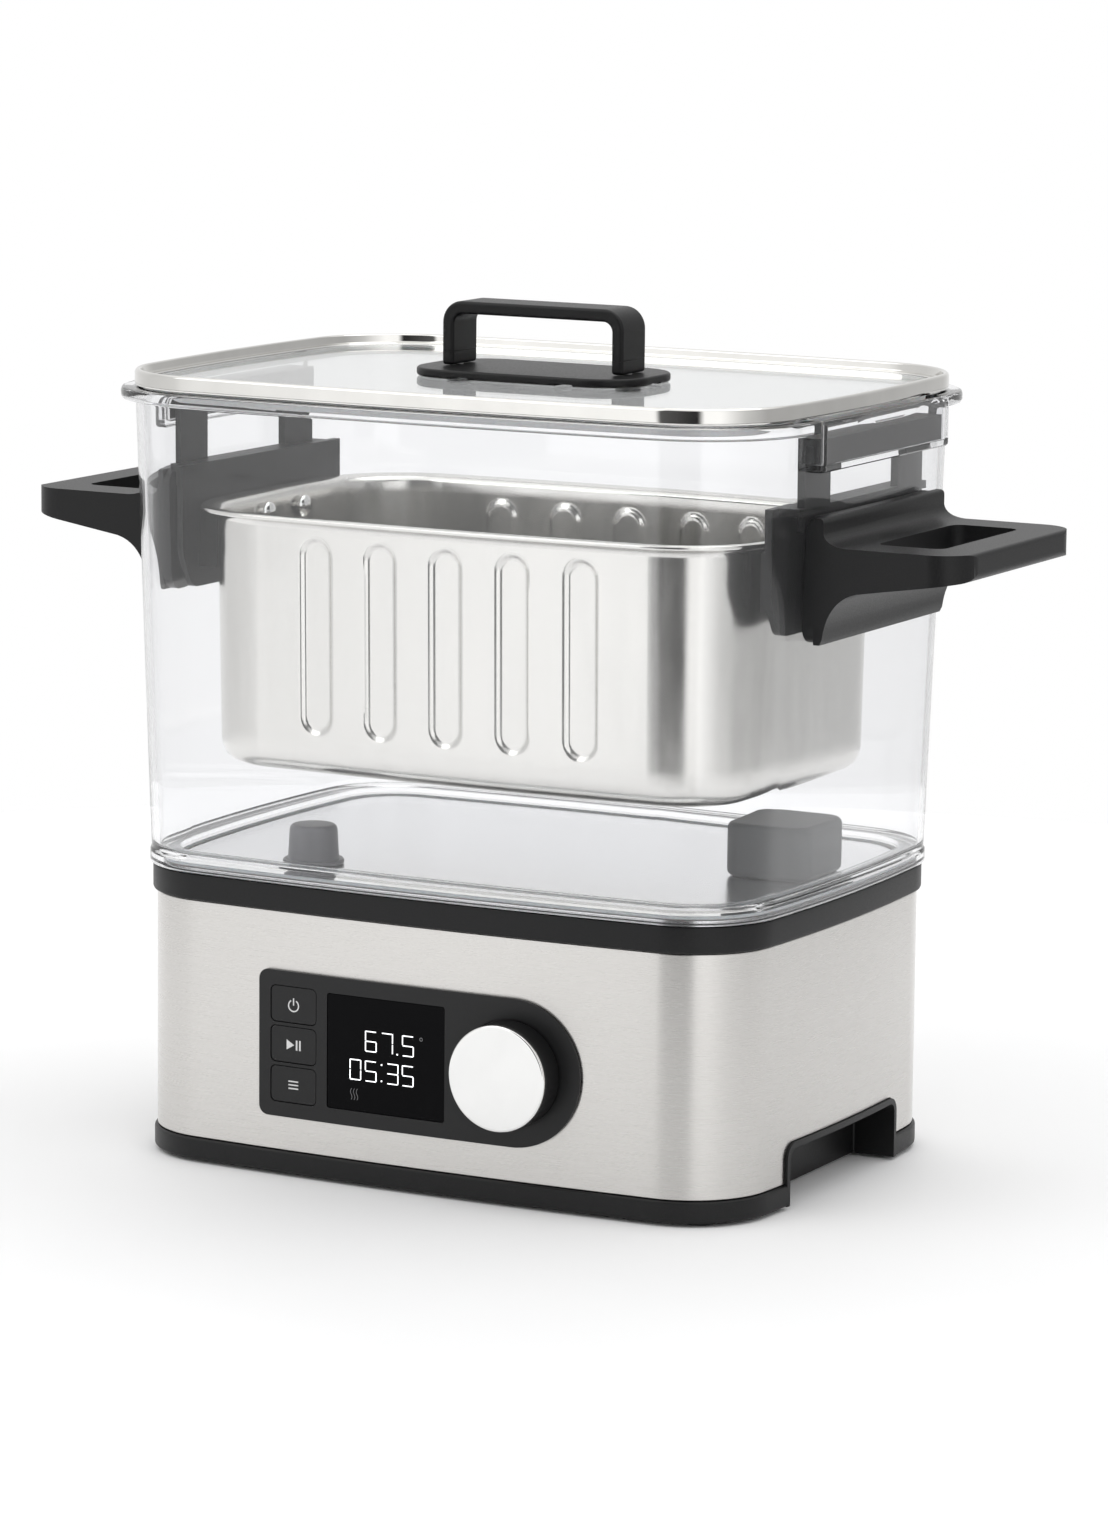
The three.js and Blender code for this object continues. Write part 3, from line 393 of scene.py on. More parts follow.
def make_skirt():
    z0, z1 = skirt_low[2], skirt_high[2]
    fold, sheet = 0.5 * MM, 1.2 * MM
    skirt = around("skirt", BODY, [(-fold, z0), (-0.15 * MM, z0 + 0.15 * MM), (0, z0 + fold), (0, z1 - fold),
                                   (-0.15 * MM, z1 - 0.15 * MM), (-fold, z1), (-sheet, z1), (-sheet, z0)],
                   **SMOOTHER)
    hole = turned("hole", [(8.4 * MM, PANEL_FRONT), (8.4 * MM, PANEL_BACK)], middle_of("cord_inlet"), "front")
    opening = prism("opening", panel_points(-1 * MM), PANEL_FRONT, PANEL_BACK, "Y")
    shaped(skirt, "DIFFERENCE", *both_ends(notch(NOTCH["wall"] + 0.3 * MM, 0.1)), opening, hole)
    done(skirt, brushed_steel, "base", "brushed_steel", "base_skirt")


def make_bottom_trim():
    low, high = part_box("base_tray")
    reach, z0, z1 = high[0] - BODY["half_width"], low[2], skirt_low[2] - 0.3 * MM
    r = 1.3 * MM
    trim = around("bottom_trim", BODY, [(-20 * MM, z0), (reach - r, z0), (reach - 0.4 * r, z0 + 0.12 * r),
            (reach - 0.1 * r, z0 + 0.45 * r), (reach, z0 + r), (reach, z1 - r),
            (reach - 0.12 * r, z1 - 0.4 * r), (reach - 0.45 * r, z1 - 0.1 * r), (reach - r, z1),
            (-6 * MM, z1), (-6 * MM, z0 + 2.5 * MM), (-20 * MM, z0 + 2.5 * MM)], closed=False, **SMOOTHER)
    liner = softened(notch(NOTCH["wall"], NOTCH["inner"] - NOTCH["wall"]), 0.8 * MM)
    limit = around("limit", BODY, [(1.2 * MM, z0), (1.2 * MM, 0.06)], closed=False, front_steps=20,
                   side_steps=12)
    shaped(liner, "INTERSECT", limit)
    shaped(trim, "UNION", *both_ends(liner))
    holes = []
    for node, radius in (("foot", 3.3 * MM), ("base_screw", 2.2 * MM)):
        for where in CORNERS:
            holes.append(turned("hole", [(radius, -0.01), (radius, 0.02)], middle_of(f"{node}_{where}"),
                    steps=32))
    shaped(trim, "DIFFERENCE", *both_ends(softened(notch(0, NOTCH["inner"]), 0.8 * MM)), *holes)
    done(trim, black_plastic, "base", "black_plastic", "base_tray")


def make_top_trim():
    low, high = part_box("top_trim")
    reach, z0, z1, r = high[0] - BODY["half_width"], low[2], high[2], 1.2 * MM
    deck_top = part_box("heater_plate")[0][2] - 0.3 * MM
    trim = around("top_trim_smooth", BODY, [(reach - r, z0), (reach - 0.3 * r, z0 + 0.3 * r), (reach, z0 + r),
            (reach, z1 - r), (reach - 0.12 * r, z1 - 0.4 * r), (reach - 0.45 * r, z1 - 0.1 * r),
            (reach - r, z1), (-6.5 * MM, z1), (-7 * MM, z1 - 0.5 * MM), (-7 * MM, deck_top),
            (-16 * MM, deck_top), (-16 * MM, deck_top - 3.5 * MM), (-7 * MM, deck_top - 3.5 * MM),
            (-7 * MM, z0)], **SMOOTHER)
    deck = around("deck", BODY, [(-15 * MM, deck_top - 3.5 * MM), (-15 * MM, deck_top)], closed=False)
    heat_low, heat_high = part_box("heater_plate")
    ledge = 8 * MM
    heat_hole = prism("heat_hole", rounded(heat_low[0] + ledge, heat_high[0] - ledge, heat_low[1] + ledge,
                                           heat_high[1] - ledge, 12 * MM), 0.1, 0.12)
    well = turned("well", [(14.5 * MM, 0.1), (14.5 * MM, 0.12)], middle_of("drive_magnet"))
    shaped(trim, "UNION", deck)
    shaped(trim, "DIFFERENCE", heat_hole, well)
    done(trim, black_plastic, "base", "black_plastic", "top_trim")


def make_feet():
    for where in CORNERS:
        low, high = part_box(f"foot_{where}")
        r = (high[0] - low[0]) / 2
        foot = turned(f"rubber_foot_{where}", [(1 * MM, 0.25 * MM), (3 * MM, 0.25 * MM), (3.4 * MM, 0),
                (r - 0.8 * MM, 0), (r - 0.2 * MM, 0.2 * MM), (r, 0.7 * MM), (r, 1.0 * MM),
                (r - 0.2 * MM, 1.2 * MM), (3 * MM, 1.2 * MM), (3 * MM, high[2])], middle_of(f"foot_{where}"))
        done(foot, rubber, "base", "rubber", f"foot_{where}")


make_skirt()
make_bottom_trim()
make_top_trim()
make_feet()


# ---- base: control panel ----
def front_y(x, offset):
    """Where the bowed front stands at x, pushed out by the offset."""
    return BODY["front_bow"] - BODY["half_depth"] - math.sqrt((BODY["front_bow"] + offset) ** 2 - x ** 2)


def on_front(name, points, outer, inner):
    """A flat outline in X and Z, made to follow the bowed front between two offsets."""
    wall = around("wall", BODY, [(outer, 0), (outer, 0.11), (inner, 0.11), (inner, 0)], front_steps=30)
    return shaped(prism(name, points, PANEL_FRONT, PANEL_BACK, "Y"), "INTERSECT", wall)


def node_rect(node, radius, extra=0.0):
    low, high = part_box(node)
    return rounded(low[0] - extra, high[0] + extra, low[2] - extra, high[2] + extra, radius + extra, 5)


BUTTONS = {"power_button": "power_key", "start_button": "start_key", "menu_button": "menu_key"}
knob_low, knob_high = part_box("knob_body")
KNOB_RADIUS = (knob_high[0] - knob_low[0]) / 2
knob_centre = middle_of("knob_body")
KNOB_WELL, KNOB_BACK = 0.0986, 0.0992       # how far forward the panel's well and the knob's back edge stand


def make_bezel():
    face = on_front("bezel", panel_points(), 1.5 * MM, 0.3 * MM)
    softened(face, 0.5 * MM, 3, 50)
    tongue = on_front("tongue", panel_points(-1.4 * MM), 0.6 * MM, -3 * MM)
    shaped(face, "UNION", tongue)
    well = turned("well", [(KNOB_RADIUS + 0.8 * MM, KNOB_WELL), (KNOB_RADIUS + 0.8 * MM, -PANEL_FRONT)],
                  knob_centre, "front", 96)
    hole = turned("hole", [(6.5 * MM, -PANEL_BACK), (6.5 * MM, -PANEL_FRONT)], knob_centre, "front")
    window = prism("window", node_rect("display_window", 0.8 * MM, 0.3 * MM), PANEL_FRONT, PANEL_BACK, "Y")
    slots = [prism("slot", node_rect(node, 2 * MM, 0.35 * MM), PANEL_FRONT, PANEL_BACK, "Y")
             for node in BUTTONS]
    shaped(face, "DIFFERENCE", well, hole, window, *slots)
    done(face, panel_plastic, "base", "panel_plastic", "control_bezel")
    window = on_front("window_pane", node_rect("display_window", 0.8 * MM), 1.2 * MM, -1.2 * MM)
    done(window, display_glass, "base", "display_glass", "display_window")


def make_buttons():
    for node, body in BUTTONS.items():
        key = on_front(node + "_cap", node_rect(node, 2 * MM), 1.3 * MM, -4 * MM)
        softened(key, 0.45 * MM, 3, 50)
        done(key, panel_plastic, body, "panel_plastic", node)


INK = 0.12 * MM


def mark(points, offset):
    """A thin printed or lit shape on the bowed front, over a face that stands at the offset."""
    middle = sum(x for x, _ in points) / len(points)
    y = front_y(middle, offset)
    return prism("mark", points, y - INK, y + INK, "Y")


def bar(x0, x1, z0, z1):
    return [(x0, z0), (x1, z0), (x1, z1), (x0, z1)]


def band(x, z, radius, width, start, end):
    return arc(x, z, radius, start, end, 28) + arc(x, z, radius - width, end, start, 28)


def make_icons():
    offset = 1.3 * MM
    x, _, z = middle_of("power_button")
    stroke = 0.5 * MM
    power = [mark(band(x, z - 0.3 * MM, 2.5 * MM, stroke, -240, 60), offset),
             mark(bar(x - stroke / 2, x + stroke / 2, z - 0.2 * MM, z + 2.7 * MM), offset)]
    x, _, z = middle_of("start_button")
    play = [mark([(x - 3.1 * MM, z - 2 * MM), (x + 0.3 * MM, z), (x - 3.1 * MM, z + 2 * MM)], offset)]
    play += [mark(bar(x + a * MM, x + (a + 0.7) * MM, z - 2 * MM, z + 2 * MM), offset) for a in (1.1, 2.6)]
    x, _, z = middle_of("menu_button")
    menu = [mark(bar(x - 2.2 * MM, x + 2.2 * MM, z + (a - 0.25) * MM, z + (a + 0.25) * MM), offset)
            for a in (-1.4, 0, 1.4)]
    for marks, node in ((power, "power_button"), (play, "start_button"), (menu, "menu_button")):
        done(joined(marks, node + "_icon"), print_white, BUTTONS[node], "panel_plastic")


SEGMENTS = {"0": "abcdef", "3": "abgcd", "5": "afgcd", "6": "afgedc", "7": "abc"}


def digit(character, x, z, width, height, stroke):
    """The lit bars of a seven-segment digit, drawn from its lower left corner."""
    half, s, gap = height / 2, stroke, 0.14 * MM
    level = lambda base: bar(x + s / 2 + gap, x + width - s / 2 - gap, z + base, z + base + s)
    rise = lambda side, base: bar(x + side, x + side + s, z + base + s / 2 + gap, z + base + half - gap)
    shapes = {"a": level(height - s), "g": level(half - s / 2), "d": level(0), "f": rise(0, half),
              "b": rise(width - s, half), "e": rise(0, 0), "c": rise(width - s, 0)}
    return [shapes[name] for name in SEGMENTS[character]]


def make_display():
    low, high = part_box("display_window")
    width, height = high[0] - low[0], high[2] - low[2]
    size, stroke = (0.1 * width, 0.183 * height), 0.4 * MM
    offset = 1.2 * MM
    marks = []
    across = lambda part: low[0] + width * part
    upper, lower = low[2] + 0.532 * height, low[2] + 0.27 * height
    rows = (("675", (0.325, 0.465, 0.643), upper), ("0535", (0.192, 0.325, 0.513, 0.643), lower))
    for text, places, z in rows:
        for character, part in zip(text, places):
            marks += [mark(points, offset) for points in digit(character, across(part), z, *size, stroke)]
    dot, x = 0.34 * MM, across(0.602)
    marks.append(mark(arc(x, upper + dot, dot, 0, 330, 11), offset))
    x = across(0.468)
    marks += [mark(arc(x, lower + size[1] * part, dot, 0, 330, 11), offset) for part in (0.1, 0.88)]
    done(joined(marks, "lit_digits"), lit, "base", "display_glass")
    waves = []
    for i in range(3):
        x = low[0] + 0.205 * width + i * 1.3 * MM
        left = [(x + 0.35 * MM * math.sin(step * 0.75), low[2] + 4.2 * MM + step * 0.5 * MM)
                for step in range(10)]
        waves.append(mark(left + [(a + 0.22 * MM, b) for a, b in left[::-1]], offset))
    ring = across(0.805)
    waves.append(mark(band(ring, upper + size[1] - 0.8 * MM, 0.75 * MM, 0.3 * MM, 0, 350), offset))
    done(joined(waves, "dim_symbols"), dim_print, "base", "display_glass")


def make_knob():
    r = KNOB_RADIUS
    y0, y1 = -knob_high[1], -knob_low[1]
    grip = turned("knob_grip", [(5.8 * MM, y0), (5.8 * MM, KNOB_BACK), (r - 0.9 * MM, KNOB_BACK),
            (r - 0.2 * MM, 0.0995), (r, 0.1002), (r, y1 - 0.5 * MM), (r - 0.5 * MM, y1)], knob_centre,
                  "front", 128)
    done(grip, panel_plastic, "knob", "panel_plastic", "knob_body")
    cap_low, cap_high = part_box("knob_cap")
    back, face = -cap_high[1], -cap_low[1]
    e = 0.2 * MM
    cap = turned("knob_face", [(r - e, back), (r, back + e), (r, face - 3 * e), (r - 0.4 * e, face - 1.6 * e),
            (r - 1.4 * e, face - 0.5 * e), (r - 3 * e, face), (r - 5 * e, face), (0.6 * r, face - 0.6 * e),
            (0.3 * r, face - 0.9 * e), (0.05 * r, face - e)], knob_centre, "front", 128)
    done(cap, polished_metal, "knob", "polished_metal", "knob_cap")


make_bezel()
make_buttons()
make_icons()
make_display()
make_knob()


# ---- base: what shows when the tank is lifted, and the inlet ----
def make_heater():
    low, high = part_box("heater_plate")
    plate = prism("heater_face", rounded(low[0], high[0], low[1], high[1], 12 * MM, 12), low[2], high[2])
    sensor_low, sensor_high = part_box("temperature_sensor")
    centre = middle_of("temperature_sensor")
    shaped(plate, "DIFFERENCE", turned("hole", [(8 * MM, 0.1), (8 * MM, 0.13)], centre))
    softened(plate, 0.6 * MM, 3, 40)
    done(plate, aluminium, "base", "aluminium", "heater_plate")
    r, top = (sensor_high[0] - sensor_low[0]) / 2, sensor_high[2]
    plunger = turned("sensor_plunger", [(2.5 * MM, sensor_low[2]), (2.5 * MM, 0.105), (r, 0.105),
            (r, top - 1.2 * MM), (r - 0.35 * MM, top - 0.35 * MM), (r - 1.2 * MM, top), (0.8 * MM, top)],
                     centre)
    done(plunger, aluminium, "sensor", "aluminium", "temperature_sensor")


INLET_LIP, INLET_FACE = 0.0952, 0.0984       # the groove that the skirt's sheet sits in


def make_inlet():
    low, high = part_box("cord_inlet")
    centre = middle_of("cord_inlet")
    r = (high[0] - low[0]) / 2
    gland = turned("inlet_gland", [(4 * MM, -low[1]), (r, -low[1]), (r, -INLET_LIP), (8 * MM, -INLET_LIP),
            (8 * MM, -INLET_FACE), (r - 0.3 * MM, -INLET_FACE), (r, -0.0987), (r, -high[1] + 1.6 * MM),
            (r - 0.5 * MM, -high[1] + 0.5 * MM), (r - 1.6 * MM, -high[1]), (5 * MM, -high[1]),
            (4 * MM, -high[1] + 1 * MM)], centre, "front")
    bore = turned("bore", [(3.9 * MM, -0.12), (3.9 * MM, -0.07)], centre, "front")
    shaped(gland, "DIFFERENCE", bore)
    done(gland, black_plastic, "base", "black_plastic", "cord_inlet")


make_heater()
make_inlet()


# ---- tank ----
RIM_OUT, WALL_IN = 14 * MM, 3 * MM
tank_low, tank_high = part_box("tank_shell")
RIM_TOP = tank_high[2]
RIM_LOW = RIM_TOP - 4.8 * MM
LEDGE = tank_low[2] + 6 * MM
WALL_LOW, WALL_HIGH = 2.3 * MM, 8.2 * MM
SCREW_Y = 36 * MM
SCREW_Z = 231 * MM
FINE = {"front_steps": 24, "side_steps": 14, "turn_steps": 18}
POCKET = {"half": 57 * MM, "low": 285 * MM, "wall": 2.5 * MM, "reach": tank_high[0] - 0.5 * MM}


def wall_offset(z):
    """How far the tank wall's outside stands out from the body outline at a height."""
    return WALL_LOW + (WALL_HIGH - WALL_LOW) * (z - LEDGE) / (RIM_LOW - LEDGE)


def bores_along_x(radius, x0, x1, reach, z, steps=32):
    """Two level cutters, one towards the front and one towards the rear."""
    return [turned("bore", [(radius, x0), (radius, x1)], (0, y, z), "X", steps) for y in (-reach, reach)]


def box_with_round_plan(name, x0, x1, half, z0, z1, radius):
    return prism(name, rounded(x0, x1, -half, half, radius), z0, z1)


def make_tank():
    low = tank_low[2]
    e = 0.5 * MM
    outside = [(2.9 * MM - e, low), (2.9 * MM, low + e), (2.9 * MM, LEDGE - 1.3 * MM),
               (2.7 * MM, LEDGE - 0.6 * MM), (WALL_LOW, LEDGE)]
    outside += [(wall_offset(z), z) for z in (0.18, 0.24, RIM_LOW - 1.2 * MM)]
    outside += [(WALL_HIGH + 0.3 * MM, RIM_LOW - 0.4 * MM), (WALL_HIGH + 1.2 * MM, RIM_LOW)]
    lip = [(RIM_OUT - 1.4 * MM, RIM_LOW), (RIM_OUT - 0.4 * MM, RIM_LOW + 0.4 * MM),
           (RIM_OUT, RIM_LOW + 1.4 * MM), (RIM_OUT, RIM_TOP - 1.4 * MM),
           (RIM_OUT - 0.4 * MM, RIM_TOP - 0.4 * MM), (RIM_OUT - 1.4 * MM, RIM_TOP)]
    inside = [(WALL_HIGH - WALL_IN + 0.8 * MM, RIM_TOP), (WALL_HIGH - WALL_IN, RIM_TOP - 0.8 * MM)]
    inside += [(wall_offset(z) - WALL_IN, z) for z in (0.24, 0.18, LEDGE + 3 * MM)]
    inside += [(-1.6 * MM, LEDGE + 0.8 * MM), (-3.4 * MM, LEDGE), (-9 * MM, LEDGE),
               (-9 * MM, LEDGE - 2.7 * MM), (-2.2 * MM, LEDGE - 2.7 * MM), (-2.2 * MM, low)]
    shell = around("tank_wall", BODY, outside + lip + inside, **FINE)
    wall, half, depth, reach = POCKET["wall"], POCKET["half"], POCKET["low"], POCKET["reach"]
    pocket = softened(box_with_round_plan("pocket", 0.134, reach, half, depth, RIM_TOP - MM, 3 * MM),
                      1.5 * MM, 3, 40)
    trench = softened(box_with_round_plan("trench", 0.130, reach - wall, half - wall, depth + wall,
            RIM_TOP + 5 * MM, 1.5 * MM), 0.8 * MM, 2, 40)
    hollow = around("hollow", BODY, [(wall_offset(z) - WALL_IN, z) for z in (0.27, 0.32)], closed=False,
                    **FINE)
    shaped(shell, "UNION", *both_ends(pocket))
    bores = both_ends(*bores_along_x(2.6 * MM, 0.12, 0.16, SCREW_Y, SCREW_Z))
    shaped(shell, "DIFFERENCE", *both_ends(trench), hollow, *bores)
    done(shell, clear_plastic, "tank", "clear_plastic", "tank_shell", angle=math.radians(28))


def make_tank_floor():
    low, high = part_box("tank_floor")
    z0, top = low[2], high[2]
    pan = around("floor_pan", BODY, [(-12 * MM, top - MM), (-11 * MM, top - 1.6 * MM), (-10 * MM, z0),
            (-3 * MM, z0), (-3 * MM, z0 + MM), (-8.6 * MM, z0 + MM), (-9.6 * MM, z0 + 1.2 * MM),
            (-11 * MM, top - 0.3 * MM), (-12 * MM, top), (-13 * MM, top)], closed=False, **FINE)
    done(pan, floor_steel, "tank", "floor_steel", "tank_floor")
    low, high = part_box("floor_seal")
    z0, z1, r = low[2], high[2], 0.4 * MM
    seal = around("floor_gasket", BODY, [(-3 * MM, z0 + r), (-3 * MM, z1 - r), (-3 * MM - r, z1),
            (-9 * MM + r, z1), (-9 * MM, z1 - r), (-9 * MM, z0 + r), (-9 * MM + r, z0), (-3 * MM - r, z0)],
                  **FINE)
    done(seal, silicone, "tank", "silicone", "floor_seal")


def make_pump_cover():
    low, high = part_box("pump_cover")
    x, y, _ = middle_of("pump_cover")
    wall = 2.3 * MM
    cover = prism("cover", rounded(low[0], high[0], low[1], high[1], 8 * MM), low[2], high[2])
    softened(cover, 2.5 * MM, 4, 40)
    room = prism("room", rounded(low[0] + wall, high[0] - wall, low[1] + wall, high[1] - wall, 6 * MM),
                 low[2] - 0.01, high[2] - wall)
    tools = [room]
    for i in range(-2, 3):
        middle = y + i * 5.5 * MM
        tools.append(block("slot", (low[0] - 5 * MM, middle - 1.4 * MM, low[2] + 4.7 * MM),
                           (low[0] + 5 * MM, middle + 1.4 * MM, low[2] + 15.7 * MM), 0.9 * MM, 2))
    tools.append(block("outlet", (x - 6 * MM, high[1] - 5 * MM, low[2] + 4.7 * MM),
                       (x + 6 * MM, high[1] + 5 * MM, low[2] + 14.7 * MM), 1.5 * MM, 2))
    shaped(cover, "DIFFERENCE", *tools)
    done(cover, grey_plastic, "tank", "grey_plastic", "pump_cover")


def make_level_sensor():
    low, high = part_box("level_sensor")
    r, z0, z1 = (high[0] - low[0]) / 2, low[2], high[2]
    post = turned("float_post", [(r - 0.5 * MM, z0), (r, z0 + 0.4 * MM), (r, z0 + 1.5 * MM),
            (r - 0.5 * MM, z0 + 2 * MM), (r - 1.8 * MM, z0 + 2 * MM), (r - 2 * MM, z0 + 2.4 * MM),
            (r - 2.6 * MM, z1 - 2.2 * MM), (r - 3 * MM, z1 - 0.9 * MM), (r - 3.8 * MM, z1 - 0.2 * MM),
            (r - 5 * MM, z1), (1 * MM, z1)], middle_of("level_sensor"))
    done(post, pale_grey, "tank", "grey_plastic", "level_sensor")


def curve(p0, p1, p2, steps=10):
    """A quadratic curve from p0 to p2, drawn towards p1, without its first point."""
    points = []
    for i in range(1, steps + 1):
        t = i / steps
        points.append(tuple((1 - t) ** 2 * a + 2 * t * (1 - t) * b + t * t * c for a, b,
                            c in zip(p0, p1, p2)))
    return points


def make_side_handles():
    low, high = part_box("side_handle_right")
    half, tip, plate_low, plate_high = high[1], high[0], low[2], high[2]
    face, back = 148.5 * MM, 140 * MM
    root, under, top = plate_low + 20.4 * MM, plate_low + 26.6 * MM, plate_low + 37.2 * MM
    arm, beam, corner = 18.5 * MM, 16.5 * MM, 15 * MM
    path = [(back, plate_low), (face - MM, plate_low), (face, plate_low + 2 * MM)]
    path += curve(path[-1], (face + 2 * MM, root - 3 * MM), (face + 14 * MM, root))
    path.append((tip - 3 * MM, under))
    path += curve(path[-1], (tip, under + 0.5 * MM), (tip, under + 3.5 * MM), 6)
    path.append((tip, top - 2 * MM))
    path += curve(path[-1], (tip, top), (tip - 2 * MM, top), 6)
    path.append((face + 9 * MM, top))
    path += curve(path[-1], (face + MM, top + 0.5 * MM), (face, top + 5 * MM), 8)
    path.append((face, plate_high - 2 * MM))
    path += curve(path[-1], (face, plate_high), (face - 2 * MM, plate_high), 5)
    path.append((back, plate_high))
    grip = prism("grip", path, -half, half, "Y")
    plan = prism("plan", rounded(0.1, tip, -half, half, corner, 14), 0.2, 0.29)
    side = prism("side", rounded(-half, half, plate_low, plate_high, 7 * MM), 0.1, 0.15, "X")
    inner = prism("inner", rounded(face + 13 * MM, tip - beam, -half + arm, half - arm, 5 * MM, 10), 0.2,
                  0.29)
    wall = around("wall", BODY, [(wall_offset(z) + 0.3 * MM, z) for z in (0.2, 0.29)], closed=False, **FINE)
    reach = block("reach", (0.145, -0.07, 0.2), (0.26, 0.07, 0.29))
    beyond = copied(grip, "beyond")
    shaped(beyond, "INTERSECT", reach)
    shaped(grip, "INTERSECT", side)
    shaped(grip, "UNION", beyond)
    shaped(grip, "INTERSECT", plan)
    shaped(grip, "DIFFERENCE", inner)
    softened(grip, 2.4 * MM, 5, 32)
    shaped(grip, "DIFFERENCE", wall, *bores_along_x(1.9 * MM, 0.12, 0.1466, SCREW_Y, SCREW_Z))
    on_whole_mesh(grip, bpy.ops.mesh.quads_convert_to_tris)
    other = copied(grip, "tank_grip_left", math.pi)
    grip.name = "tank_grip_right"
    done(grip, black_plastic, "tank", "black_plastic", "side_handle_right")
    done(other, black_plastic, "tank", "black_plastic", "side_handle_left")


def two_at_each_end(reach):
    """The name, place along Y and turn of four like parts. The left ones are made on the right."""
    for where, turn in (("right", None), ("left", math.pi)):
        for place, side in (("front", -1), ("rear", 1)):
            yield f"{where}_{place}", (side if turn is None else -side) * reach, turn


HEAD_IN = 0.1346       # where the heads of the side handles' screws begin, inside the tank's wall


def make_handle_screws():
    for place, y, turn in two_at_each_end(SCREW_Y):
        screw = turned(f"grip_screw_{place}", [(3.6 * MM, HEAD_IN), (4.3 * MM, 0.1348), (4.5 * MM, 0.1353),
                (4.5 * MM, 0.1362), (1.6 * MM, 0.137), (1.6 * MM, 0.146)], (0, y, SCREW_Z), "X", 32)
        cross = [block("slot", (0.134, y - a, SCREW_Z - b), (0.1353, y + a, SCREW_Z + b))
                 for a, b in ((2.2 * MM, 0.4 * MM), (0.4 * MM, 2.2 * MM))]
        shaped(screw, "DIFFERENCE", *cross)
        if turn:
            rotate(screw, turn)
        done(screw, plain_steel, "tank", "plain_steel", f"handle_screw_{place}")


def rotate(piece, turn):
    """Turns a piece about the vertical axis through the middle of the object."""
    on_whole_mesh(piece, bpy.ops.transform.rotate, value=-turn, orient_axis="Z", center_override=(0, 0, 0))


make_tank()
make_tank_floor()
make_pump_cover()
make_level_sensor()
make_side_handles()
make_handle_screws()

# ---- insert ----
RIB = {"pitch": 29 * MM, "width": 14 * MM, "low": insert_low[2] + 16.5 * MM,
       "high": insert_low[2] + 93.5 * MM}
RIVET_Y, RIVET_Z = 14 * MM, insert_low[2] + 93.5 * MM
RIB_XS = [i * RIB["pitch"] for i in range(-2, 3)]


def rib_depth(x, z):
    """How far in the ribs are pressed at a place on the front or rear wall."""
    nearest = min(abs(x - middle) for middle in RIB_XS)
    radius = RIB["width"] / 2
    beyond = max(RIB["low"] + radius - z, z - RIB["high"] + radius, 0)
    inside = min(max((radius - math.hypot(nearest, beyond)) / (1.3 * MM), 0), 1)
    return RIB_DEPTH * inside * inside * (3 - 2 * inside)


def make_insert():
    z0, rim, wall = insert_low[2], insert_high[2], 1.2 * MM
    heights = [z0 + 9 * MM, RIB["low"] - MM]
    heights += [RIB["low"] + i * MM for i in range(8)]
    heights += [RIB["low"] + 12 * MM + i * 13 * MM for i in range(5)]
    heights += [RIB["high"] - i * MM for i in range(7, -2, -1)]
    lean = lambda z: -1.5 * MM * (1 - (z - z0 - 9 * MM) / (rim - z0 - 13 * MM))
    foot = [(-13 * MM, z0), (-11 * MM, z0), (-8 * MM, z0 + 0.5 * MM), (-5.5 * MM, z0 + 1.6 * MM),
            (-3.6 * MM, z0 + 3.2 * MM), (-2.3 * MM, z0 + 5.6 * MM)]
    outer = foot + [(lean(z), z) for z in heights]
    roll = [(-0.4 * MM, rim - 5.4 * MM), (0.2 * MM, rim - 3.6 * MM), (1.5 * MM, rim - 2.4 * MM),
            (3.2 * MM, rim - 2.1 * MM), (5.6 * MM, rim - 2 * MM), (6.7 * MM, rim - 1.7 * MM),
            (7 * MM, rim - 1 * MM), (6.7 * MM, rim - 0.3 * MM), (6 * MM, rim), (3 * MM, rim - 0.15 * MM),
            (1.2 * MM, rim - 0.6 * MM), (-0.3 * MM, rim - 1.5 * MM), (-wall, rim - 3 * MM)]
    inner = [(offset - wall, max(z, z0 + wall)) for offset, z in outer[::-1]]
    inner = [(offset, z + (0.9 * MM if z < z0 + 9 * MM else 0)) for offset, z in inner
             if z > z0 + wall] + [(-13 * MM, z0 + wall)]
    profile = outer + roll + inner
    rings = []
    for offset, z in profile:
        ring = outline(INSERT, offset, 110, 10, 14)
        rings.append([(x, y - math.copysign(rib_depth(x, z), y), z) if abs(x) < 70 * MM and z < rim - 5 * MM
                      else (x, y, z) for x, y in ring])
    dish = carried("insert_basket", rings, closed=False)
    shaped(dish, "DIFFERENCE", *both_ends(*bores_along_x(2.5 * MM, 0.105, 0.13, RIVET_Y, RIVET_Z, 24)))
    done(dish, insert_steel, "insert", "insert_steel", "insert_tray", angle=math.radians(50))


APRON_IN, APRON_OUT, LEG_IN, LEG_OUT = 0.1275, 0.1305, 0.1348, 0.1378
SHELF_IN, PAD_IN = 0.128, 0.1196


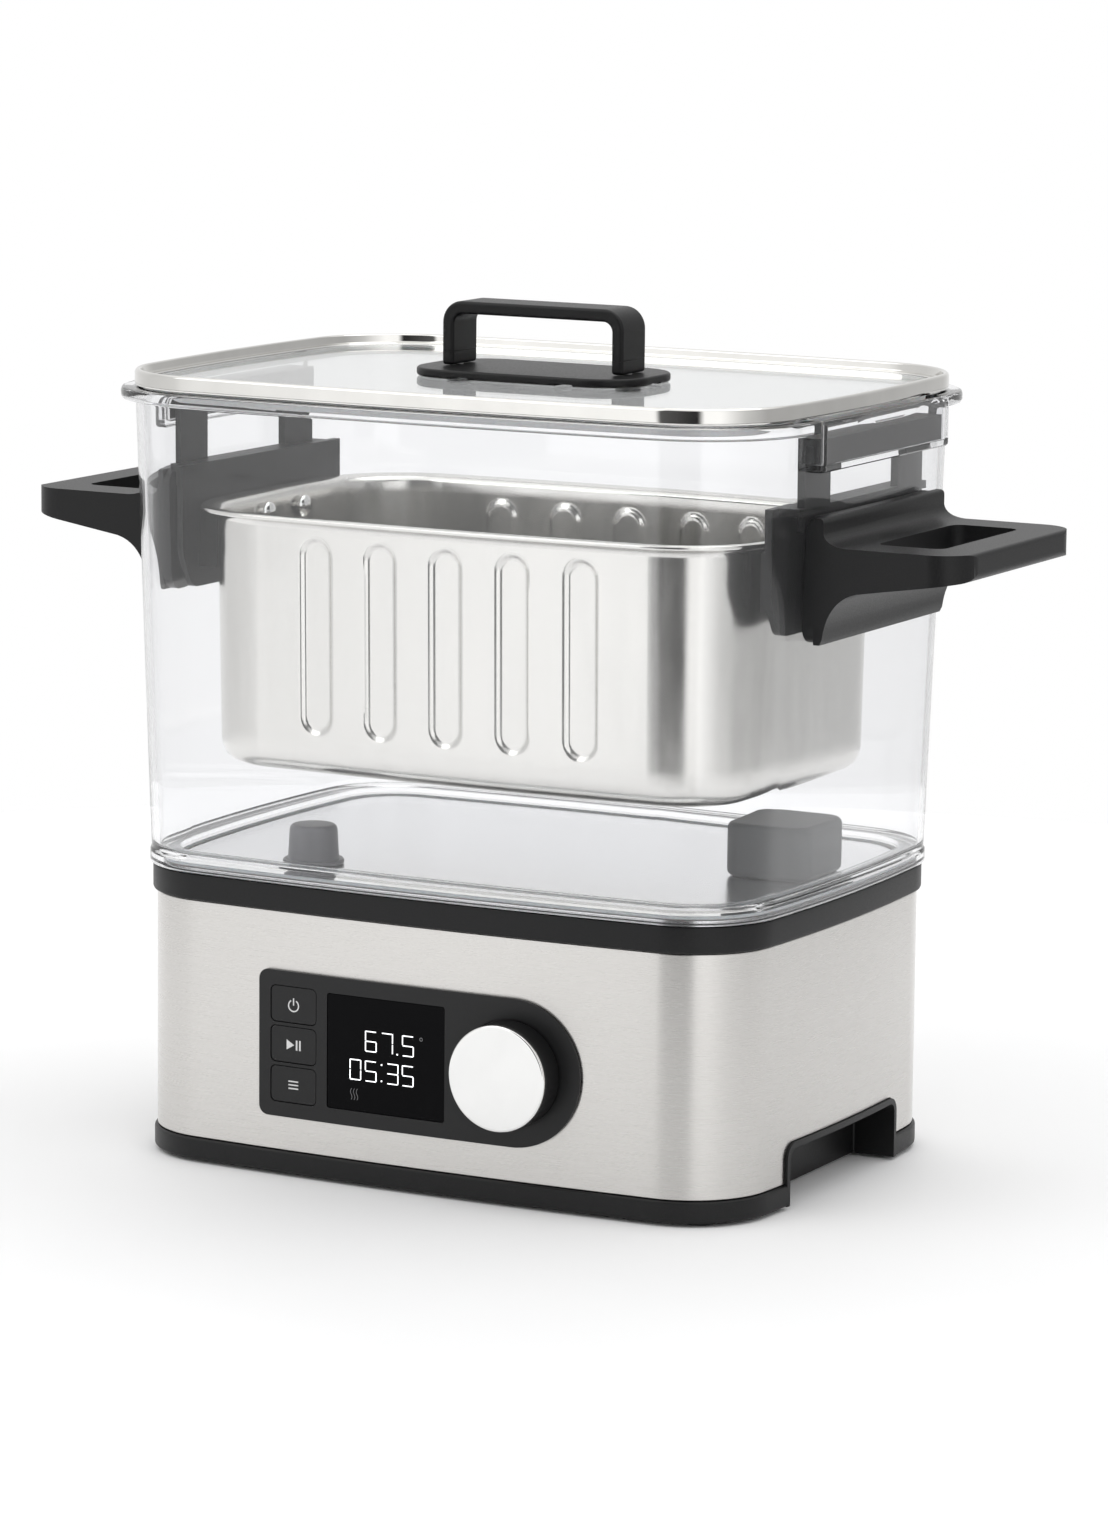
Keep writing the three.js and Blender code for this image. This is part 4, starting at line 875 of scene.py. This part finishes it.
def make_hangers():
    low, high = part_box("hanger_right")
    half, tip, base, top = high[1], high[0], low[2], high[2]
    shelf = base + 49 * MM
    leg_in, leg_out = 30 * MM, 52 * MM
    side = [(-half, shelf), (-half, base + 18 * MM)]
    side += curve(side[-1], (-half, base + 14 * MM), (-60 * MM, base + 11 * MM),
                  6) + [(-55 * MM, base + 3 * MM)]
    side += curve(side[-1], (-53 * MM, base), (-49 * MM, base), 6)
    side += [(-y, z) for y, z in side[::-1]]
    parts = [prism("apron", side, APRON_IN, APRON_OUT, "X"),
             block("pad", (PAD_IN, -0.048, base + 8 * MM), (SHELF_IN, 0.048, base + 30.8 * MM)),
             block("shelf", (SHELF_IN, -0.056, shelf - 3 * MM), (LEG_OUT, 0.056, shelf)),
             block("band", (LEG_IN, -leg_out, base + 40 * MM), (LEG_OUT, leg_out, shelf)),
             block("bridge", (LEG_IN, -leg_out, top - 3 * MM), (tip, leg_out, top)),
             block("hook", (tip - 2.8 * MM, -leg_out, POCKET["low"] + POCKET["wall"] + 0.3 * MM),
                   (tip, leg_out, top))]
    parts += [block("leg", (LEG_IN, min(a, b), base + 40 * MM), (LEG_OUT, max(a, b), top - MM))
              for a, b in ((leg_in, leg_out), (-leg_out, -leg_in))]
    hanger = parts[0]
    shaped(hanger, "UNION", *parts[1:])
    plan = prism("plan", rounded(0.1, tip, -half, half, 3 * MM), 0.2, 0.32)
    shaped(hanger, "INTERSECT", plan)
    softened(hanger, 0.6 * MM, 2, 40)
    inside = around("inside", INSERT, [(0.6 * MM, 0.15), (0.6 * MM, 0.3)], closed=False)
    shaped(hanger, "DIFFERENCE", inside, *bores_along_x(2.5 * MM, 0.105, 0.126, RIVET_Y, RIVET_Z))
    other = copied(hanger, "insert_hanger_left", math.pi)
    named(hanger, "insert_hanger_right")
    done(hanger, black_plastic, "insert", "black_plastic", "hanger_right")
    done(other, black_plastic, "insert", "black_plastic", "hanger_left")


def make_rivets():
    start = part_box("rivet_right_front")[0][0]
    for place, y, turn in two_at_each_end(RIVET_Y):
        rivet = turned(f"dome_rivet_{place}", [(0.6 * MM, start), (1.8 * MM, start + 0.15 * MM),
                (2.9 * MM, start + 0.5 * MM), (3.9 * MM, start + 1.1 * MM), (4.5 * MM, start + 1.7 * MM),
                (4.6 * MM, start + 2.1 * MM), (2.2 * MM, start + 2.4 * MM), (2.2 * MM, start + 12 * MM)],
                       (0, y, RIVET_Z), "X", 32)
        if turn:
            rotate(rivet, turn)
        done(rivet, polished_metal, "insert", "polished_metal", f"rivet_{place}")


make_insert()
make_hangers()
make_rivets()


# ---- lid ----
glass_low, glass_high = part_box("lid_glass")
band_low, band_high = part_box("lid_band")
GLASS_OUT = glass_high[0] - BODY["half_width"]
BAIL_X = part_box("lid_handle_bail")[1][0] - 2.5 * MM


def make_lid():
    z0, z1, reach = band_low[2], band_high[2], band_high[0] - BODY["half_width"]
    inner, g = GLASS_OUT + 0.3 * MM, glass_high[2]
    bead = [(reach - 1.2 * MM, z0), (reach - 0.35 * MM, z0 + 0.3 * MM), (reach, z0 + 1.1 * MM),
            (reach, z1 - 1.4 * MM), (reach - 0.3 * MM, z1 - 0.6 * MM), (reach - 0.9 * MM, z1 - 0.1 * MM),
            (reach - 1.5 * MM, z1), (reach - 2.1 * MM, z1 - 0.2 * MM), (reach - 2.5 * MM, z1 - 0.7 * MM),
            (reach - 2.8 * MM, g + 1 * MM), (reach - 3.1 * MM, g + 0.5 * MM),
            (reach - 3.7 * MM, g + 0.35 * MM), (inner + 0.4 * MM, g + 0.3 * MM), (inner, g - 0.1 * MM),
            (inner, z0)]
    done(around("rim_band", BODY, bead, **FINE), band_steel, "lid", "polished_metal", "lid_band")
    low, r = glass_low[2], 0.5 * MM
    pane = around("glass_pane", BODY, [
        (GLASS_OUT - r, low), (GLASS_OUT - 0.3 * r, low + 0.3 * r), (GLASS_OUT, low + r), (GLASS_OUT, g - r),
        (GLASS_OUT - 0.3 * r, g - 0.3 * r), (GLASS_OUT - r, g)], closed=False, **FINE)
    bores = [turned("bore", [(2.6 * MM, 0.3), (2.6 * MM, 0.315)], (side * BAIL_X, 0, 0), steps=32)
             for side in (-1, 1)]
    shaped(pane, "DIFFERENCE", *bores)
    done(pane, lid_glass, "lid", "lid_glass", "lid_glass", angle=math.radians(30))
    low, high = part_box("lid_seal")
    out, z0, z1 = high[0] - BODY["half_width"], low[2], high[2]
    seal = around("lid_gasket", BODY, [(out, z1 - 0.4 * MM), (out - 0.4 * MM, z1), (-4 * MM, z1),
            (-4.2 * MM, z1 - 0.4 * MM), (-3.8 * MM, z0 + 0.3 * MM), (-3.4 * MM, z0), (1 * MM, z0),
            (1.4 * MM, z0 + 0.4 * MM)], **FINE)
    done(seal, silicone, "lid", "silicone", "lid_seal")


def make_lid_handle():
    low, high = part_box("lid_handle_base")
    plate = prism("plate", rounded(low[0], high[0], low[1], high[1], 20 * MM, 16), low[2], high[2])
    softened(plate, 1.1 * MM, 4, 50)
    tools = [turned("bore", [(2 * MM, 0.3), (2 * MM, 0.315)], (side * BAIL_X, 0, 0), steps=24)
             for side in (-1, 1)]
    for x in (-23 * MM, 23 * MM):
        tools.append(block("notch", (x - 4 * MM, low[1] - 0.01, low[2] - 0.01),
                           (x + 4 * MM, high[1] + 0.01, low[2] + 0.9 * MM)))
    tools.append(block("notch", (low[0] - 0.01, -4 * MM, low[2] - 0.01),
                       (high[0] + 0.01, 4 * MM, low[2] + 0.9 * MM)))
    shaped(plate, "DIFFERENCE", *tools)
    done(named(plate, "handle_plate"), black_plastic, "lid", "black_plastic", "lid_handle_base")
    low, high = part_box("lid_handle_bail")
    z0, thick = low[2], 5 * MM
    hoop = prism("hoop", rounded(low[0], high[0], z0 - 0.06, high[2], 8.5 * MM, 12), low[1], high[1], "Y")
    gap = prism("gap", rounded(low[0] + thick, high[0] - thick, z0 - 0.07, high[2] - thick, 4 * MM, 10),
                -0.02, 0.02, "Y")
    shaped(hoop, "DIFFERENCE", gap, block("below", (-0.09, -0.02, 0.2), (0.09, 0.02, z0)))
    softened(hoop, 1.3 * MM, 4, 50)
    groove = 0.25 * MM
    seam = block("seam", (-0.06, -0.02, z0 + 5.2 * MM), (0.06, 0.02, z0 + 5.6 * MM))
    core = [block("core", (side * BAIL_X - 2.5 * MM + groove, low[1] + groove, z0 + MM),
                  (side * BAIL_X + 2.5 * MM - groove, high[1] - groove, z0 + 9 * MM)) for side in (-1, 1)]
    shaped(seam, "DIFFERENCE", *core)
    bores = [turned("bore", [(1.9 * MM, z0 - 5 * MM), (1.9 * MM, z0 + 12 * MM)], (side * BAIL_X, 0, 0),
                    steps=24) for side in (-1, 1)]
    shaped(hoop, "DIFFERENCE", seam, *bores)
    done(named(hoop, "handle_hoop"), black_plastic, "lid", "black_plastic", "lid_handle_bail")


make_lid()
make_lid_handle()

# ---- frame nodes that stay as they are, with their finishes ----
FINISHES = {"plain_steel": plain_steel, "grey_plastic": grey_plastic, "copper_sheath": copper_sheath,
            "circuit_board": circuit_board}
KEPT = {"base_frame": "plain_steel", "base_screw": "plain_steel", "heating_element": "copper_sheath",
        "thermal_fuse": "plain_steel", "sensor_holder": "grey_plastic", "drive_magnet": "plain_steel",
        "pump_motor": "plain_steel", "power_board": "circuit_board", "control_board": "circuit_board",
        "display_module": "grey_plastic", "encoder": "plain_steel", "impeller": "grey_plastic",
        "lid_screw": "plain_steel"}

for name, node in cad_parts.items():
    if node.hide_render:
        continue
    slot = next(slot for start, slot in KEPT.items() if name.startswith(start))
    node.data.materials.clear()
    node.data.materials.append(FINISHES[slot])
    soft = node.modifiers.new("soft_edges", "BEVEL")
    soft.width, soft.segments, soft.limit_method, soft.angle_limit = 0.2 * MM, 2, "ANGLE", math.radians(40)

# ---- floor, light and camera ----
def make_stage():
    clear_selection()
    bpy.ops.mesh.primitive_circle_add(vertices=128, radius=0.8, fill_type="NGON")
    floor = named(bpy.context.object, "floor")
    pale = add_grain(finish("pale_floor", Specular_IOR_Level=0.2), 6, rough=(0.6, 0.7),
                     tint=((0.955, 0.955, 0.957), (0.965, 0.965, 0.967)))
    floor.data.materials.append(pale)


def add_light(name, place, target, width, height, power):
    data = bpy.data.lights.new(name, "AREA")
    data.shape, data.size, data.size_y, data.energy = "RECTANGLE", width, height, power
    light = bpy.data.objects.new(name, data)
    bpy.context.collection.objects.link(light)
    light.location = place
    light.rotation_euler = (Vector(target) - Vector(place)).to_track_quat("-Z", "Y").to_euler()


# Brightness of the studio walls by bearing, in degrees from +X towards +Y.
WALLS = ((-180, 0.75), (-138, 0.86), (-122, 1.2), (-107, 1.32), (-103, 0.12), (-64, 0.02), (-58, 1.35),
         (-42, 1.35), (-15, 0.75), (10, 0.52), (62, 0.52), (100, 0.85), (140, 0.9), (180, 0.75))
BRIGHTEST = 1.5


def make_light():
    """White all round, with a dark gap and bright panels between the walls that only reflections meet."""
    world = bpy.data.worlds.new("studio")
    world.use_nodes = True
    tree, links = world.node_tree, world.node_tree.links
    back = tree.nodes["Background"]
    back.inputs["Color"].default_value = (1, 1, 1, 1)
    where, split, path = new_node(tree, "TexCoord"), new_node(tree, "SeparateXYZ"), new_node(tree,
            "LightPath")
    links.new(where.outputs["Generated"], split.inputs["Vector"])
    bearing = new_node(tree, "Math")
    bearing.operation = "ARCTAN2"
    links.new(split.outputs["Y"], bearing.inputs[0])
    links.new(split.outputs["X"], bearing.inputs[1])
    turn = new_node(tree, "MapRange", From_Min=-math.pi, From_Max=math.pi)
    links.new(bearing.outputs[0], turn.inputs["Value"])
    walls = new_node(tree, "FloatCurve")
    points = walls.mapping.curves[0].points
    for degrees, level in WALLS[1:-1]:
        points.new((degrees + 180) / 360, level / BRIGHTEST)
    points[0].location, points[-1].location = (0, WALLS[0][1] / BRIGHTEST), (1, WALLS[-1][1] / BRIGHTEST)
    for point in points:
        point.handle_type = "VECTOR"
    walls.mapping.update()
    links.new(turn.outputs["Result"], walls.inputs["Value"])
    level = new_node(tree, "Math")
    level.operation, level.inputs[1].default_value = "MULTIPLY", BRIGHTEST
    links.new(walls.outputs["Value"], level.inputs[0])
    above = new_node(tree, "MapRange", From_Min=0.55, From_Max=0.85)
    above.interpolation_type = "SMOOTHSTEP"
    links.new(split.outputs["Z"], above.inputs["Value"])
    ceiling = new_node(tree, "Mix", B=1.25)
    links.new(above.outputs["Result"], ceiling.inputs["Factor"])
    links.new(level.outputs[0], ceiling.inputs["A"])
    seen = new_node(tree, "Mix", A=1.0)
    reflected = new_node(tree, "Math")
    reflected.operation, reflected.inputs[1].default_value = "GREATER_THAN", 0.5
    links.new(path.outputs["Glossy Depth"], reflected.inputs[0])
    links.new(reflected.outputs[0], seen.inputs["Factor"])
    links.new(ceiling.outputs["Result"], seen.inputs["B"])
    links.new(seen.outputs["Result"], back.inputs["Strength"])
    bpy.context.scene.world = world
    middle = (0, 0, 0.15)
    add_light("key", (-1.2, -1.5, 2.0), middle, 1.4, 1.4, 7)
    add_light("overhead", (0.3, 0.5, 2.2), middle, 1.8, 1.2, 7)


def make_camera():
    azimuth, elevation, roll = (math.radians(a) for a in (28.0813, 9.5226, 0.5667))
    data = bpy.data.cameras.new("camera")
    data.lens, data.sensor_width = 138.23, 36
    camera = bpy.data.objects.new("camera", data)
    bpy.context.collection.objects.link(camera)
    camera.matrix_world = (Matrix.Translation((1.08388, -2.01937, 0.53889)) @ Matrix.Rotation(azimuth, 4, "Z")
                           @ Matrix.Rotation(math.pi / 2 - elevation, 4, "X") @ Matrix.Rotation(roll, 4, "Z"))
    bpy.context.scene.camera = camera


make_stage()
make_light()
make_camera()
bpy.context.scene.view_settings.view_transform = "Standard"
